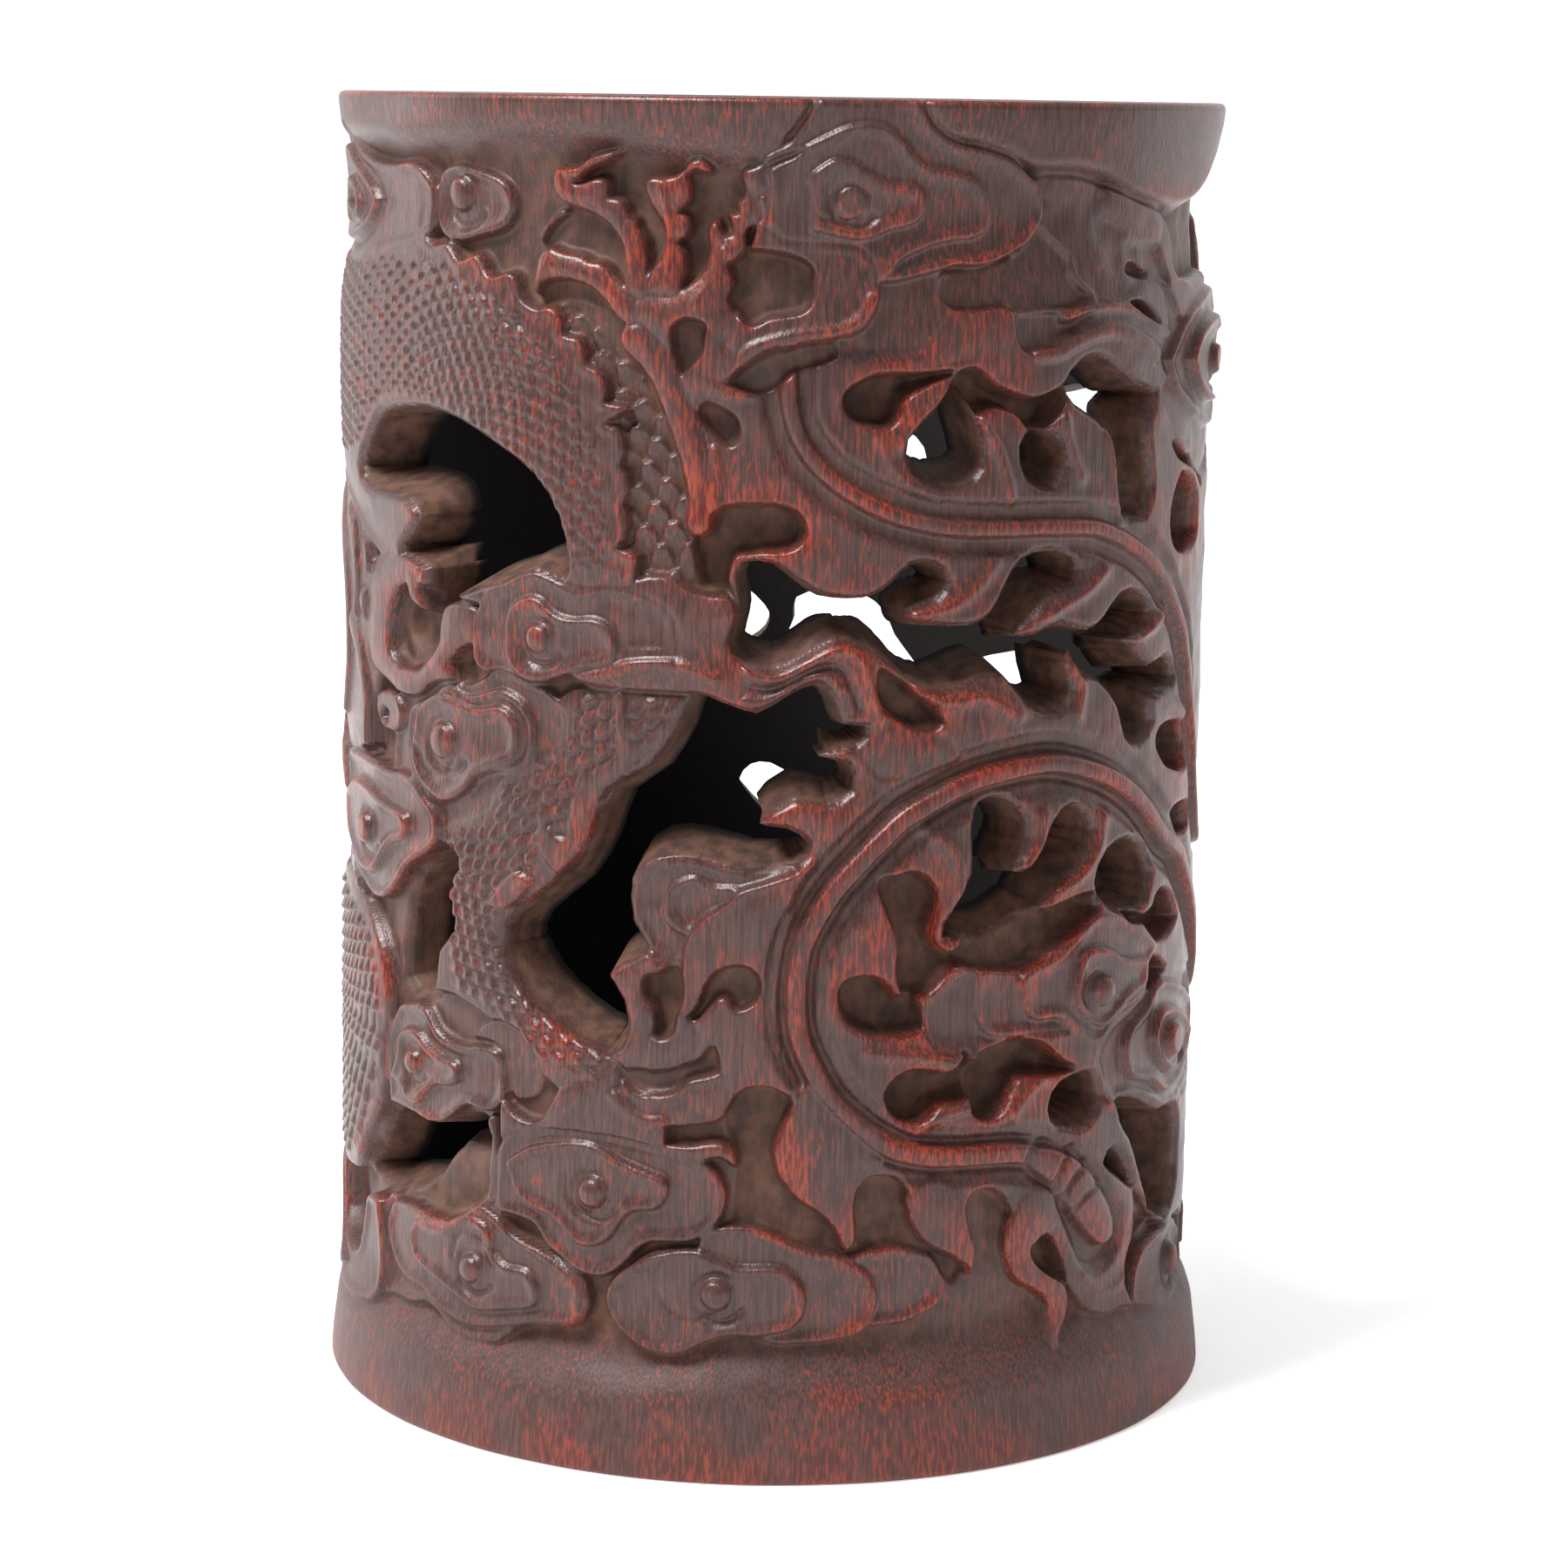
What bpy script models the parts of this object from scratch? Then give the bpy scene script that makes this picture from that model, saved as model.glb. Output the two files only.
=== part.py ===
"""Openwork brush pot: a carved bamboo tube with a turned disc let in for its floor.

Metres, +Z up. The origin is the centre of the foot, on the surface that the pot stands on, and the
front of the carving faces -Y. A place on the wall is (round, up): degrees round from the front,
growing towards +X, and millimetres above the foot.
"""
import math

import bmesh
import bpy

MM = 0.001
HEIGHT = 150 * MM
BORE_RADIUS = 42.7 * MM
FOOT_RADIUS = 52.6 * MM
WAIST_RADIUS = 50.8 * MM
BODY_RADIUS = 51.0 * MM
NECK_RADIUS = 49.8 * MM
RIM_RADIUS = 51.3 * MM
EDGE_ROUNDING = 0.7 * MM
MOUTH_CHAMFER = 3 * MM
WALL_STEPS = 96
# Turning points of the outside between the rim and the foot, as (radius, height), top to bottom.
OUTSIDE = [
    (50.5 * MM, 144 * MM),
    (NECK_RADIUS, 137 * MM),
    (BODY_RADIUS, 127 * MM),
    (BODY_RADIUS, 28 * MM),
    (WAIST_RADIUS, 14 * MM),
    (52.0 * MM, 6 * MM),
]

GAP = 0.3 * MM
DISC_RADIUS = 46.0 * MM
DISC_BOTTOM = 1.2 * MM
DISC_TOP = 7.2 * MM
DISC_STEPS = 64

CUTTER_INNER = 25 * MM
CUTTER_OUTER = 66 * MM

BAMBOO = {"colour": (0.17, 0.105, 0.08), "roughness": 0.38}
FLOOR_WOOD = {"colour": (0.10, 0.065, 0.05), "roughness": 0.55}

# The holes through the wall. Each outline is a closed curve through its points.
FRONT_OPENINGS = {
    "crescent": [
        (-64, 112.7), (-60, 115), (-55, 115.8), (-49, 116), (-43, 115), (-37, 112.8), (-31, 109.8),
        (-27.5, 105.5), (-26.2, 101), (-27, 98.8), (-31, 99.6), (-36, 98), (-41, 96.8), (-46, 95),
        (-49.5, 93), (-50.3, 95.5), (-49.5, 98.3), (-55.5, 99.5), (-54.5, 101), (-51, 103.8),
        (-54, 105.6), (-60, 105.9), (-66, 106.2), (-69, 108.3)],
    "plume_gap": [
        (-4, 101.4), (0, 101.3), (3, 99.5), (6.5, 97.9), (11, 97.7), (14, 98.8), (17, 101.2),
        (20, 101.2), (22, 99.4), (20, 97.4), (16.8, 96.4), (17, 95), (20, 94.6), (25, 94.5),
        (28, 95.7), (30, 98.5), (32.5, 101.3), (37, 102), (41, 101), (41.2, 98.5), (37, 97.5),
        (34.2, 95.4), (31.5, 93.2), (35, 93), (39, 94), (44, 92.9), (47, 94), (50, 96.4),
        (54, 96.2), (57, 94), (54.5, 91.9), (51, 91.3), (54, 90.1), (58, 87.7), (62, 88.4),
        (65, 86.8), (64.5, 85), (58, 84.4), (58.5, 81.5), (55, 79.4), (52, 80.6), (50, 84.2),
        (46, 87.4), (42.3, 88.4), (40.4, 91), (39.6, 89.4), (41, 86.5), (38.5, 84.4),
        (34, 85.4), (30, 88.9), (26, 88.7), (21, 87.4), (17, 88.6), (14.6, 90.5), (11.5, 92.5),
        (7.5, 93.3), (3.5, 91.5), (0, 90.1), (-3.4, 90.8), (-5, 93), (-4.2, 95.8), (-4.6, 98.6)],
    "between_heads": [
        (-9.7, 87), (-5.5, 86), (-2, 85.1), (2, 87.2), (5.5, 88.4), (7.8, 86.6), (9, 84.1),
        (11.8, 83.9), (10.5, 81.9), (5.6, 80.8), (9.6, 79.8), (10.2, 77), (7, 75.5), (3, 76.1),
        (-1.5, 73.3), (2, 72.8), (4.9, 71.2), (3, 69), (-3, 68.3), (-9, 69.3), (-14, 69.2),
        (-17.5, 66.8), (-17.6, 62), (-15.4, 58.9), (-18.5, 57.4), (-20.5, 55.6), (-18.4, 53),
        (-18, 49), (-20.5, 47.2), (-27, 49.4), (-33, 53), (-36.3, 57.5), (-34.5, 61.4),
        (-27, 66), (-23, 71), (-20.5, 76), (-15, 79), (-11.3, 83.8)],
    "upper_slot": [
        (16.3, 114.5), (17, 111.2), (21, 109.4), (25, 110.2), (26.6, 112.8), (25, 116.6),
        (24, 120), (22.3, 121), (20, 117.6)],
    "upper_left_window": [
        (31.9, 113.5), (33, 110), (37, 108.9), (39.1, 111.2), (37.5, 114.4), (34, 115.4)],
    "upper_right_window": [
        (39, 120), (41.5, 122.3), (45, 122.8), (49, 121.3), (53, 119.5), (57, 118.4), (55, 115.5),
        (55.3, 112), (56.2, 108), (54.5, 105), (50, 105.4), (48.2, 108.7), (47, 113.6),
        (44.5, 116), (40.5, 117.8)],
    "curl_window_top": [
        (26.1, 72.5), (27.5, 75), (31, 75.2), (34.2, 72.5), (33.6, 69), (32.4, 67), (35.5, 67.3),
        (37.5, 70.5), (40, 73.2), (43, 73.4), (45.3, 70.7), (43.5, 67.4), (39, 64.9),
        (37.5, 62.8), (34, 61), (30, 60), (22.4, 60.4), (23.8, 63.8), (26.3, 67)],
    "curl_window_side": [
        (46.4, 64.5), (48.5, 67.7), (53, 68.7), (57.5, 67.2), (59.5, 64), (57.8, 61), (54, 60.3),
        (49, 61.6)],
    "curl_window_low": [
        (39.1, 39.7), (41, 42.3), (46.5, 42.8), (48.5, 39.8), (46, 37), (41, 37.3)],
    "plume_window": [(49.9, 31.9), (52, 33.1), (54.5, 31.5), (57.4, 27.8), (53, 29.9)],
    "right_hollow": [
        (51.8, 38), (56, 38.4), (61, 36.8), (66, 35), (71, 34.5), (74, 30), (73, 24), (69, 21.6),
        (64, 23.5), (60, 28), (56, 33.3)],
    "left_hollow": [
        (-62, 34.6), (-57, 35.5), (-50, 35), (-45, 36.7), (-41, 37.4), (-38.2, 35.5), (-39.5, 32.6),
        (-45, 33.4), (-49.5, 30), (-53, 27.4), (-60, 25.6), (-68, 24.6), (-72, 26), (-67, 30)],
    "left_window": [
        (-57, 60.3), (-51.5, 65.2), (-46, 67.4), (-44.6, 65), (-46, 62.2), (-45, 58.5),
        (-48.3, 55.5), (-49.7, 50), (-54, 49.7), (-58.3, 50.6)],
}

BACK_OPENINGS = {
    "back_bow": [
        (106, 111), (112, 110), (120, 110), (129, 109.2), (137, 108.6), (144, 108.3), (147, 110.3),
        (141, 112.4), (132, 114), (124, 115.6), (115, 115.8), (108, 114.6)],
    "back_plume_gap": [
        (153.8, 76.8), (156, 79.3), (159, 82), (161, 85), (165, 87), (171, 87.5), (176.6, 86.2),
        (177, 83.2), (178.4, 80.7), (179.3, 77.5), (175, 75.4), (168, 74.8), (160, 74.4), (156, 74.8)],
    "back_body_gap": [
        (181.1, 84.2), (183.5, 86.4), (189, 90), (196, 95.5), (204, 100.5), (210, 101), (214, 96.5),
        (211, 89), (203, 84), (195, 80.5), (188, 78.6), (184, 80.4), (181.6, 82)],
    "back_slit": [
        (127, 78), (128.4, 81.6), (134, 81.7), (140, 80.5), (146, 79.2), (144.4, 77.2), (141, 75),
        (135, 73.6), (129, 74.6)],
    "back_eye": [
        (185.9, 62.4), (184, 64.3), (180.5, 64.5), (176, 62.6), (171, 60.5), (169.5, 57), (173, 55.3),
        (178, 56.2), (181.9, 58.4), (184.4, 60.6)],
    "back_window": [
        (154, 103), (154.2, 106.2), (158, 108.3), (163, 107), (166, 104), (163.5, 101), (158, 100.4)],
    "back_low_hollow": [
        (150, 27), (155, 35), (162, 41), (169, 44.5), (173.5, 41), (172, 34), (166, 28), (158, 23.5),
        (152, 23)],
    "back_low_window": [(193, 21), (198, 26.5), (205, 30), (213, 31), (217, 27), (210, 22), (200, 19)],
    "right_side_hollow": [
        (97, 49), (99, 57), (104, 64), (111, 69), (119, 70.5), (123, 66), (119, 58), (112, 51),
        (104, 46)],
    "right_side_window": [(84, 88), (87, 94), (93, 98), (99, 98), (100, 94), (94, 89), (88, 86)],
    "right_side_top": [(76, 118), (80, 123), (87, 125.5), (94, 124.5), (92, 120), (84, 117)],
    "right_side_low": [(103, 21), (108, 27), (116, 30), (123, 29), (121, 24), (113, 20)],
    "left_side_top_curl": [
        (248.2, 73), (250.5, 75.2), (254, 75.2), (257.4, 72.5), (256.6, 69), (258.5, 67.3),
        (260.5, 70.5), (263, 73.2), (266, 73.4), (268.3, 70.7), (266.5, 67.4), (261, 64),
        (257, 61), (253, 60), (245.4, 60.4), (246.8, 63.8), (249.3, 67)],
    "left_side_curl": [
        (269.4, 64.5), (271.5, 67.7), (276, 68.7), (280.5, 67.2), (282.5, 64), (280.8, 61),
        (277, 60.3), (272, 61.6)],
    "left_side_low_curl": [
        (262.1, 39.7), (264, 42.3), (269.5, 42.8), (271.5, 39.8), (269, 37), (264, 37.3)],
    "left_side_hollow": [
        (228, 26), (232, 32), (239, 35), (247, 34), (250, 29), (245, 24), (236, 21.5)],
    "left_back_window": [
        (223.5, 60), (222.5, 66), (224, 73), (229, 78.5), (235, 80.5), (240, 78.5), (242.3, 72),
        (241.3, 65), (236.5, 60), (229.5, 58)],
}


def clear_scene():
    """Take out whatever the file opened with."""
    for item in list(bpy.data.objects):
        bpy.data.objects.remove(item, do_unlink=True)


def new_collection(name):
    """Make a collection under the scene's own."""
    collection = bpy.data.collections.new(name)
    bpy.context.scene.collection.children.link(collection)
    return collection


def principled(name, colour, roughness):
    """A plain non-metal material."""
    material = bpy.data.materials.new(name)
    material.use_nodes = True
    shader = material.node_tree.nodes["Principled BSDF"]
    shader.inputs["Base Color"].default_value = (*colour, 1)
    shader.inputs["Roughness"].default_value = roughness
    shader.inputs["Metallic"].default_value = 0
    return material


def turned(name, profile, steps, material, collection):
    """Turn a profile of (radius, height) points round +Z. It runs down the outside, top to bottom."""
    mesh = bpy.data.meshes.new(name)
    count = len(profile)
    points = [(radius, 0, height) for radius, height in profile]
    mesh.from_pydata(points, [(i, (i + 1) % count) for i in range(count)], [])
    mesh.materials.append(material)
    turned_object = bpy.data.objects.new(name, mesh)
    collection.objects.link(turned_object)
    screw = turned_object.modifiers.new("turn", "SCREW")
    screw.steps = steps
    screw.render_steps = steps
    screw.use_merge_vertices = True
    screw.merge_threshold = 0.00001
    return turned_object


def smooth_outline(points):
    """Halve every side of a closed outline, with the new points on a Catmull-Rom curve."""
    count = len(points)
    outline = []
    for i in range(count):
        before, start, end, after = (points[(i + k) % count] for k in (-1, 0, 1, 2))
        outline.append(start)
        middle = [(9 * (start[k] + end[k]) - before[k] - after[k]) / 16 for k in (0, 1)]
        outline.append(tuple(middle))
    return outline


def on_wall(place, radius):
    """The point at (round, up) on a cylinder of this radius."""
    turn = math.radians(place[0])
    return (radius * math.sin(turn), -radius * math.cos(turn), place[1] * MM)


def wall_cutter(name, points, collection):
    """A radial plug: the outline drawn inside the bore, lofted to the same outline outside."""
    outline = smooth_outline(points)
    shape = bmesh.new()
    inner = [shape.verts.new(on_wall(place, CUTTER_INNER)) for place in outline]
    outer = [shape.verts.new(on_wall(place, CUTTER_OUTER)) for place in outline]
    count = len(outline)
    for i in range(count):
        k = (i + 1) % count
        shape.faces.new((inner[i], inner[k], outer[k], outer[i]))
    shape.faces.new(inner)
    shape.faces.new(outer)
    bmesh.ops.triangulate(shape, faces=shape.faces[:])
    bmesh.ops.recalc_face_normals(shape, faces=shape.faces[:])
    mesh = bpy.data.meshes.new(name)
    shape.to_mesh(mesh)
    shape.free()
    cutter = bpy.data.objects.new(name, mesh)
    cutter.display_type = "WIRE"
    cutter.hide_render = True
    collection.objects.link(cutter)
    return cutter


def cut(target, cutter):
    """Take the cutter's shape out of the target."""
    boolean = target.modifiers.new("cut_" + cutter.name, "BOOLEAN")
    boolean.operation = "DIFFERENCE"
    boolean.solver = "EXACT"
    boolean.object = cutter


def carved_tube(collection, cutters):
    """The culm: flared rim, swelling body, splayed foot, a straight bore and a rabbet for the disc."""
    rabbet_radius = DISC_RADIUS + GAP
    shoulder = DISC_TOP + GAP
    profile = [
        (RIM_RADIUS - EDGE_ROUNDING, HEIGHT),
        (RIM_RADIUS, HEIGHT - EDGE_ROUNDING),
        *OUTSIDE,
        (FOOT_RADIUS, EDGE_ROUNDING),
        (FOOT_RADIUS - EDGE_ROUNDING, 0),
        (rabbet_radius, 0),
        (rabbet_radius, shoulder),
        (BORE_RADIUS, shoulder),
        (BORE_RADIUS, HEIGHT - MOUTH_CHAMFER),
        (BORE_RADIUS + EDGE_ROUNDING, HEIGHT),
    ]
    material = principled("dark_bamboo", **BAMBOO)
    tube = turned("carved_tube", profile, WALL_STEPS, material, collection)
    for name, points in {**FRONT_OPENINGS, **BACK_OPENINGS}.items():
        cut(tube, wall_cutter(name, points, cutters))
    return tube


def base_disc(collection):
    """The floor, sitting in the rabbet, a little above the foot so that only the foot ring bears."""
    shape = bmesh.new()
    bmesh.ops.create_cone(
        shape, cap_ends=True, segments=DISC_STEPS, radius1=DISC_RADIUS, radius2=DISC_RADIUS,
        depth=DISC_TOP - DISC_BOTTOM)
    mesh = bpy.data.meshes.new("base_disc")
    shape.to_mesh(mesh)
    shape.free()
    mesh.materials.append(principled("floor_wood", **FLOOR_WOOD))
    disc = bpy.data.objects.new("base_disc", mesh)
    disc.location.z = (DISC_TOP + DISC_BOTTOM) / 2
    collection.objects.link(disc)
    return disc


def main():
    clear_scene()
    pot = new_collection("brush_pot")
    cutters = new_collection("cutters")
    carved_tube(pot, cutters)
    base_disc(pot)


main()
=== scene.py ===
"""Looks of the carved bamboo brush pot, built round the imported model.

The outside of the wall is unrolled into a grid of heights. Motifs are carved into it one after another,
the furthest back first, and the grid is then rolled up into one closed mesh with the holes through it.
A place on the wall is (round, up): degrees round from the front, growing towards +X, and millimetres up.
Heights are millimetres above the turned surface, so most are negative.
"""
import math

import bpy
import numpy as np
from mathutils import Matrix


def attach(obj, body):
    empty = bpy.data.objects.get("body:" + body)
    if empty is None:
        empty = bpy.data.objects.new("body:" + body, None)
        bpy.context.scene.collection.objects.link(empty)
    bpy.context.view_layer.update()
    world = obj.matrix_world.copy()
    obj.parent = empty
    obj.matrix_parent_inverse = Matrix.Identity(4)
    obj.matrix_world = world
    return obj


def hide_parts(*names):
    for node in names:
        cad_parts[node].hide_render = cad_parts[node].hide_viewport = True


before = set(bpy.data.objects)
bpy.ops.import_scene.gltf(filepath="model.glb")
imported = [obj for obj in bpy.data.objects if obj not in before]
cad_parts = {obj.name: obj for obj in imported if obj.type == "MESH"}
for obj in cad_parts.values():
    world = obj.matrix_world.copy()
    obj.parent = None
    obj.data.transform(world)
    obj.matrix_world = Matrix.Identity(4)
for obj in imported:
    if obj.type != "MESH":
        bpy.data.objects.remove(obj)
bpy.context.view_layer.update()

MM = 0.001
SEED = 7

# The grid: one column is a little over, and one row exactly, a quarter of a millimetre.
COLUMNS = 1280
ROWS = 600
STEP_UP = 0.25
UNROLLED_RADIUS = 51
MM_PER_DEGREE = math.pi / 180 * UNROLLED_RADIUS
STEP_ROUND = 360 / COLUMNS * MM_PER_DEGREE
UP = np.arange(ROWS + 1) * STEP_UP
ROUND = np.arange(COLUMNS) * 360 / COLUMNS

# The tube in millimetres, its turned surface as (height, radius), and how far round a bend is eased.
PROFILE = [
    (0.7, 52.6), (6, 52.0), (14, 50.8), (28, 51.0), (127, 51.0), (137, 49.8), (144, 50.5), (149.3, 51.3)]
BORE_RADIUS = 42.7
RABBET_RADIUS = 46.3
SHOULDER = 7.5
MOUTH = 147.0
TOP = 150.0
MOUTH_FLAT = 46.5
LARGEST_RADIUS = 52.55
EDGE_ROUNDING = 0.7
BEND_EASING = 2.5

# The rows of the grid where the outside and the bore begin and end.
LOW_ROW, HIGH_ROW = 3, 597
SHOULDER_ROW, MOUTH_ROW = int(SHOULDER / STEP_UP), int(MOUTH / STEP_UP)

# Where the plain foot and rim bands end, in millimetres up, and how far the ground takes to sink there.
FOOT_BAND, FOOT_SLOPE = 8, 8
RIM_BAND, RIM_SLOPE = 146.5, 5

# Levels in millimetres over the turned surface: the ground behind the motifs, the floor of a pocket and
# how much it is dished, the feathers, and the highest anything may stand.
GROUND = -2.6
POCKET, DISH = -5.2, 0.9
FEATHER_LEVEL = -1.0
HIGHEST = 0.9

# Shapes of the tools: a raised lip's inset and breadth, how fast a rib falls off, a knob's crown, the turn
# in degrees (first, end, step) and reach in radii of the curl round it, and the form of one scale.
LIP_INSET, LIP_SPREAD = 0.5, 0.7
RIB_FALL = 1.5
KNOB_CROWN = 0.75
CURL_TURNS = (40, 330, 24)
CURL_REACH = (0.95, 2.0)
SCALE_TIP = 1.35
SCALE_HOLLOW = 0.35

# Hand work, in millimetres: how blunt every edge is, and unevenness as (breadth, depth).
KNIFE_BLUR = 0.13
UNEVENNESS = ((0.9, 0.05), (3.5, 0.10))

# A line keeps its corner where it turns more than this. Rows added above and below the grid for a blur.
SHARP_TURN = math.radians(72)
BLUR_PADDING = 40

# The holes, in millimetres: how much their edge is rounded, how far their walls close in on the way to the
# bore, and how much more the lower ones do. The clearance starts far from holes, and a hole changes it
# within a margin. The walls have a ring of points at each share of the way in.
FAR_FROM_HOLES = 9.0
HOLE_MARGIN = 2.5
HOLE_ROUNDING = 0.9
WALL_TAPER, FLOOR_TAPER = 0.8, 1.6
TAPER_STEPS = 20
WALL_SHARES = (0.0, 0.1, 0.45, 0.8, 1.0)

# The bore has one large face for each plain block of the grid.
BLOCK_ROWS, BLOCK_COLUMNS = 9, 8

# The floor disc, in millimetres: its side and underside as (radius, height), and the lathe's rings on top.
DISC_SEGMENTS = 192
DISC_TOP = 7.1
DISC_SIDE = [(45.4, 7.15), (45.9, 6.7), (45.9, 1.9), (45.4, 1.3), (0.0, 1.3)]
LATHE_RINGS = ((0.04, 5.1), (0.03, 2.3))

# Colours, in linear light.
GLAZE = (0.068, 0.032, 0.028, 1)
GLAZE_DARK = (0.033, 0.0155, 0.0135, 1)
FIBRE_RED = (0.090, 0.009, 0.006, 1)
FIBRE_ORANGE = (0.215, 0.030, 0.013, 1)
# The hollows' colours: brown dust together with painted shade, the darker one deepening the recesses.
DUST_AND_SHADE = (0.105, 0.048, 0.028, 1)
DUST_AND_SHADE_DARK = (0.036, 0.016, 0.010, 1)
# Painted shade: the bore is coloured near black.
BORE_PAINTED_SHADE = (0.008, 0.005, 0.005, 1)
WOOD = (0.052, 0.028, 0.019, 1)
WOOD_DARK = (0.022, 0.012, 0.009, 1)
WOOD_DIRT = (0.06, 0.042, 0.03, 1)
PAPER = (0.89, 0.89, 0.89, 1)
PAPER_DARK = (0.86, 0.86, 0.86, 1)
WHITE = (1, 1, 1, 1)

# How many cycles a millimetre each noise has along x, y and z: the bamboo's fibres run upwards.
FIBRE_CYCLES = (3.3, 3.3, 0.09)
DASH_CYCLES = (3.1, 3.1, 0.55)
PATCH_CYCLES = (0.11, 0.11, 0.09)
MOTTLE_CYCLES = (0.55, 0.55, 0.4)
GRIT_CYCLES = (5, 5, 3)
WOOD_CYCLES = (0.9, 0.06, 0.9)
DIRT_CYCLES = (0.12, 0.12, 0.12)
PAPER_CYCLES = (0.4, 0.4, 0.4)

# The varnish's shine, and the heights in metres between which the foot's worn edge and duller band fade in.
VARNISH_SPECULAR = 0.34
VARNISH_ROUGHNESS = 0.21
WORN_EDGE = (0.009, 0.0005)
DULL_BAND = (0.021, 0.013)

# The studio, in metres and watts. A light is: place, size, power.
LIGHTS = {
    "over": ((-0.42, -0.3, 0.85), (0.35, 0.3), 15),
    "left": ((-0.75, 0.25, 0.25), (0.4, 0.8), 2.8),
    "right": ((0.75, 0.3, 0.25), (0.4, 0.8), 0.9)}
LIT_POINT = (0, 0, 0.08)
SKY_STRENGTH = 0.6
FLOOR_GLOW = 0.4
FLOOR_HALF, FLOOR_BACK, FLOOR_BEND, FLOOR_RISE = 3.0, 1.2, 1.0, 3.0

# The camera, solved from the photograph: its place in metres, tilt down and roll, and millimetres of sensor
# and lens.
EYE = (0.00141, -0.4731, 0.1508)
PITCH, ROLL = math.radians(9.80), math.radians(0.87)
SENSOR, LENS = 36, 92.29

# The holes, by name: those in the photograph, and those at the back and the sides.
FRONT_OPENINGS = {
    "crescent": [
        (-64, 112.7), (-60, 115), (-55, 115.8), (-49, 116), (-43, 115), (-37, 112.8), (-31, 109.8),
        (-27.5, 105.5), (-26.2, 101), (-27, 98.8), (-31, 99.6), (-36, 98), (-41, 96.8), (-46, 95),
        (-49.5, 93), (-50.3, 95.5), (-49.5, 98.3), (-55.5, 99.5), (-54.5, 101), (-51, 103.8), (-54, 105.6),
        (-60, 105.9), (-66, 106.2), (-69, 108.3)],
    "plume_gap": [
        (-4, 101.4), (0, 101.3), (3, 99.5), (6.5, 97.9), (11, 97.7), (14, 98.8), (17, 101.2), (20, 101.2),
        (22, 99.4), (20, 97.4), (16.8, 96.4), (17, 95), (20, 94.6), (25, 94.5), (28, 95.7), (30, 98.5),
        (32.5, 101.3), (37, 102), (41, 101), (41.2, 98.5), (37, 97.5), (34.2, 95.4), (31.5, 93.2), (35, 93),
        (39, 94), (44, 92.9), (47, 94), (50, 96.4), (54, 96.2), (57, 94), (54.5, 91.9), (51, 91.3),
        (54, 90.1), (58, 87.7), (62, 88.4), (65, 86.8), (64.5, 85), (58, 84.4), (58.5, 81.5), (55, 79.4),
        (52, 80.6), (50, 84.2), (46, 87.4), (42.3, 88.4), (40.4, 91), (39.6, 89.4), (41, 86.5),
        (38.5, 84.4), (34, 85.4), (30, 88.9), (26, 88.7), (21, 87.4), (17, 88.6), (14.6, 90.5),
        (11.5, 92.5), (7.5, 93.3), (3.5, 91.5), (0, 90.1), (-3.4, 90.8), (-5, 93), (-4.2, 95.8),
        (-4.6, 98.6)],
    "between_heads": [
        (-9.7, 87), (-5.5, 86), (-2, 85.1), (2, 87.2), (5.5, 88.4), (7.8, 86.6), (9, 84.1), (11.8, 83.9),
        (10.5, 81.9), (5.6, 80.8), (9.6, 79.8), (10.2, 77), (7, 75.5), (3, 76.1), (-1.5, 73.3), (2, 72.8),
        (4.9, 71.2), (3, 69), (-3, 68.3), (-9, 69.3), (-14, 69.2), (-17.5, 66.8), (-17.6, 62),
        (-15.4, 58.9), (-18.5, 57.4), (-20.5, 55.6), (-18.4, 53), (-18, 49), (-20.5, 47.2), (-27, 49.4),
        (-33, 53), (-36.3, 57.5), (-34.5, 61.4), (-27, 66), (-23, 71), (-20.5, 76), (-15, 79),
        (-11.3, 83.8)],
    "upper_slot": [
        (16.3, 114.5), (17, 111.2), (21, 109.4), (25, 110.2), (26.6, 112.8), (25, 116.6), (24, 120),
        (22.3, 121), (20, 117.6)],
    "upper_left_window": [
        (31.9, 113.5), (33, 110), (37, 108.9), (39.1, 111.2), (37.5, 114.4), (34, 115.4)],
    "upper_right_window": [
        (39, 120), (41.5, 122.3), (45, 122.8), (49, 121.3), (53, 119.5), (57, 118.4), (55, 115.5),
        (55.3, 112), (56.2, 108), (54.5, 105), (50, 105.4), (48.2, 108.7), (47, 113.6), (44.5, 116),
        (40.5, 117.8)],
    "curl_window_top": [
        (26.1, 72.5), (27.5, 75), (31, 75.2), (34.2, 72.5), (33.6, 69), (32.4, 67), (35.5, 67.3),
        (37.5, 70.5), (40, 73.2), (43, 73.4), (45.3, 70.7), (43.5, 67.4), (39, 64.9), (37.5, 62.8),
        (34, 61), (30, 60), (22.4, 60.4), (23.8, 63.8), (26.3, 67)],
    "curl_window_side": [
        (46.4, 64.5), (48.5, 67.7), (53, 68.7), (57.5, 67.2), (59.5, 64), (57.8, 61), (54, 60.3),
        (49, 61.6)],
    "curl_window_low": [
        (39.1, 39.7), (41, 42.3), (46.5, 42.8), (48.5, 39.8), (46, 37), (41, 37.3)],
    "plume_window": [(49.9, 31.9), (52, 33.1), (54.5, 31.5), (57.4, 27.8), (53, 29.9)],
    "right_hollow": [
        (51.8, 38), (56, 38.4), (61, 36.8), (66, 35), (71, 34.5), (74, 30), (73, 24), (69, 21.6),
        (64, 23.5), (60, 28), (56, 33.3)],
    "left_hollow": [
        (-62, 34.6), (-57, 35.5), (-50, 35), (-45, 36.7), (-41, 37.4), (-38.2, 35.5), (-39.5, 32.6),
        (-45, 33.4), (-49.5, 30), (-53, 27.4), (-60, 25.6), (-68, 24.6), (-72, 26), (-67, 30)],
    "left_window": [
        (-57, 60.3), (-51.5, 65.2), (-46, 67.4), (-44.6, 65), (-46, 62.2), (-45, 58.5), (-48.3, 55.5),
        (-49.7, 50), (-54, 49.7), (-58.3, 50.6)],
}


def turned(points, degrees):
    """Places on the wall, moved round it."""
    return [(round_ + degrees, up) for round_, up in points]


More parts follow.
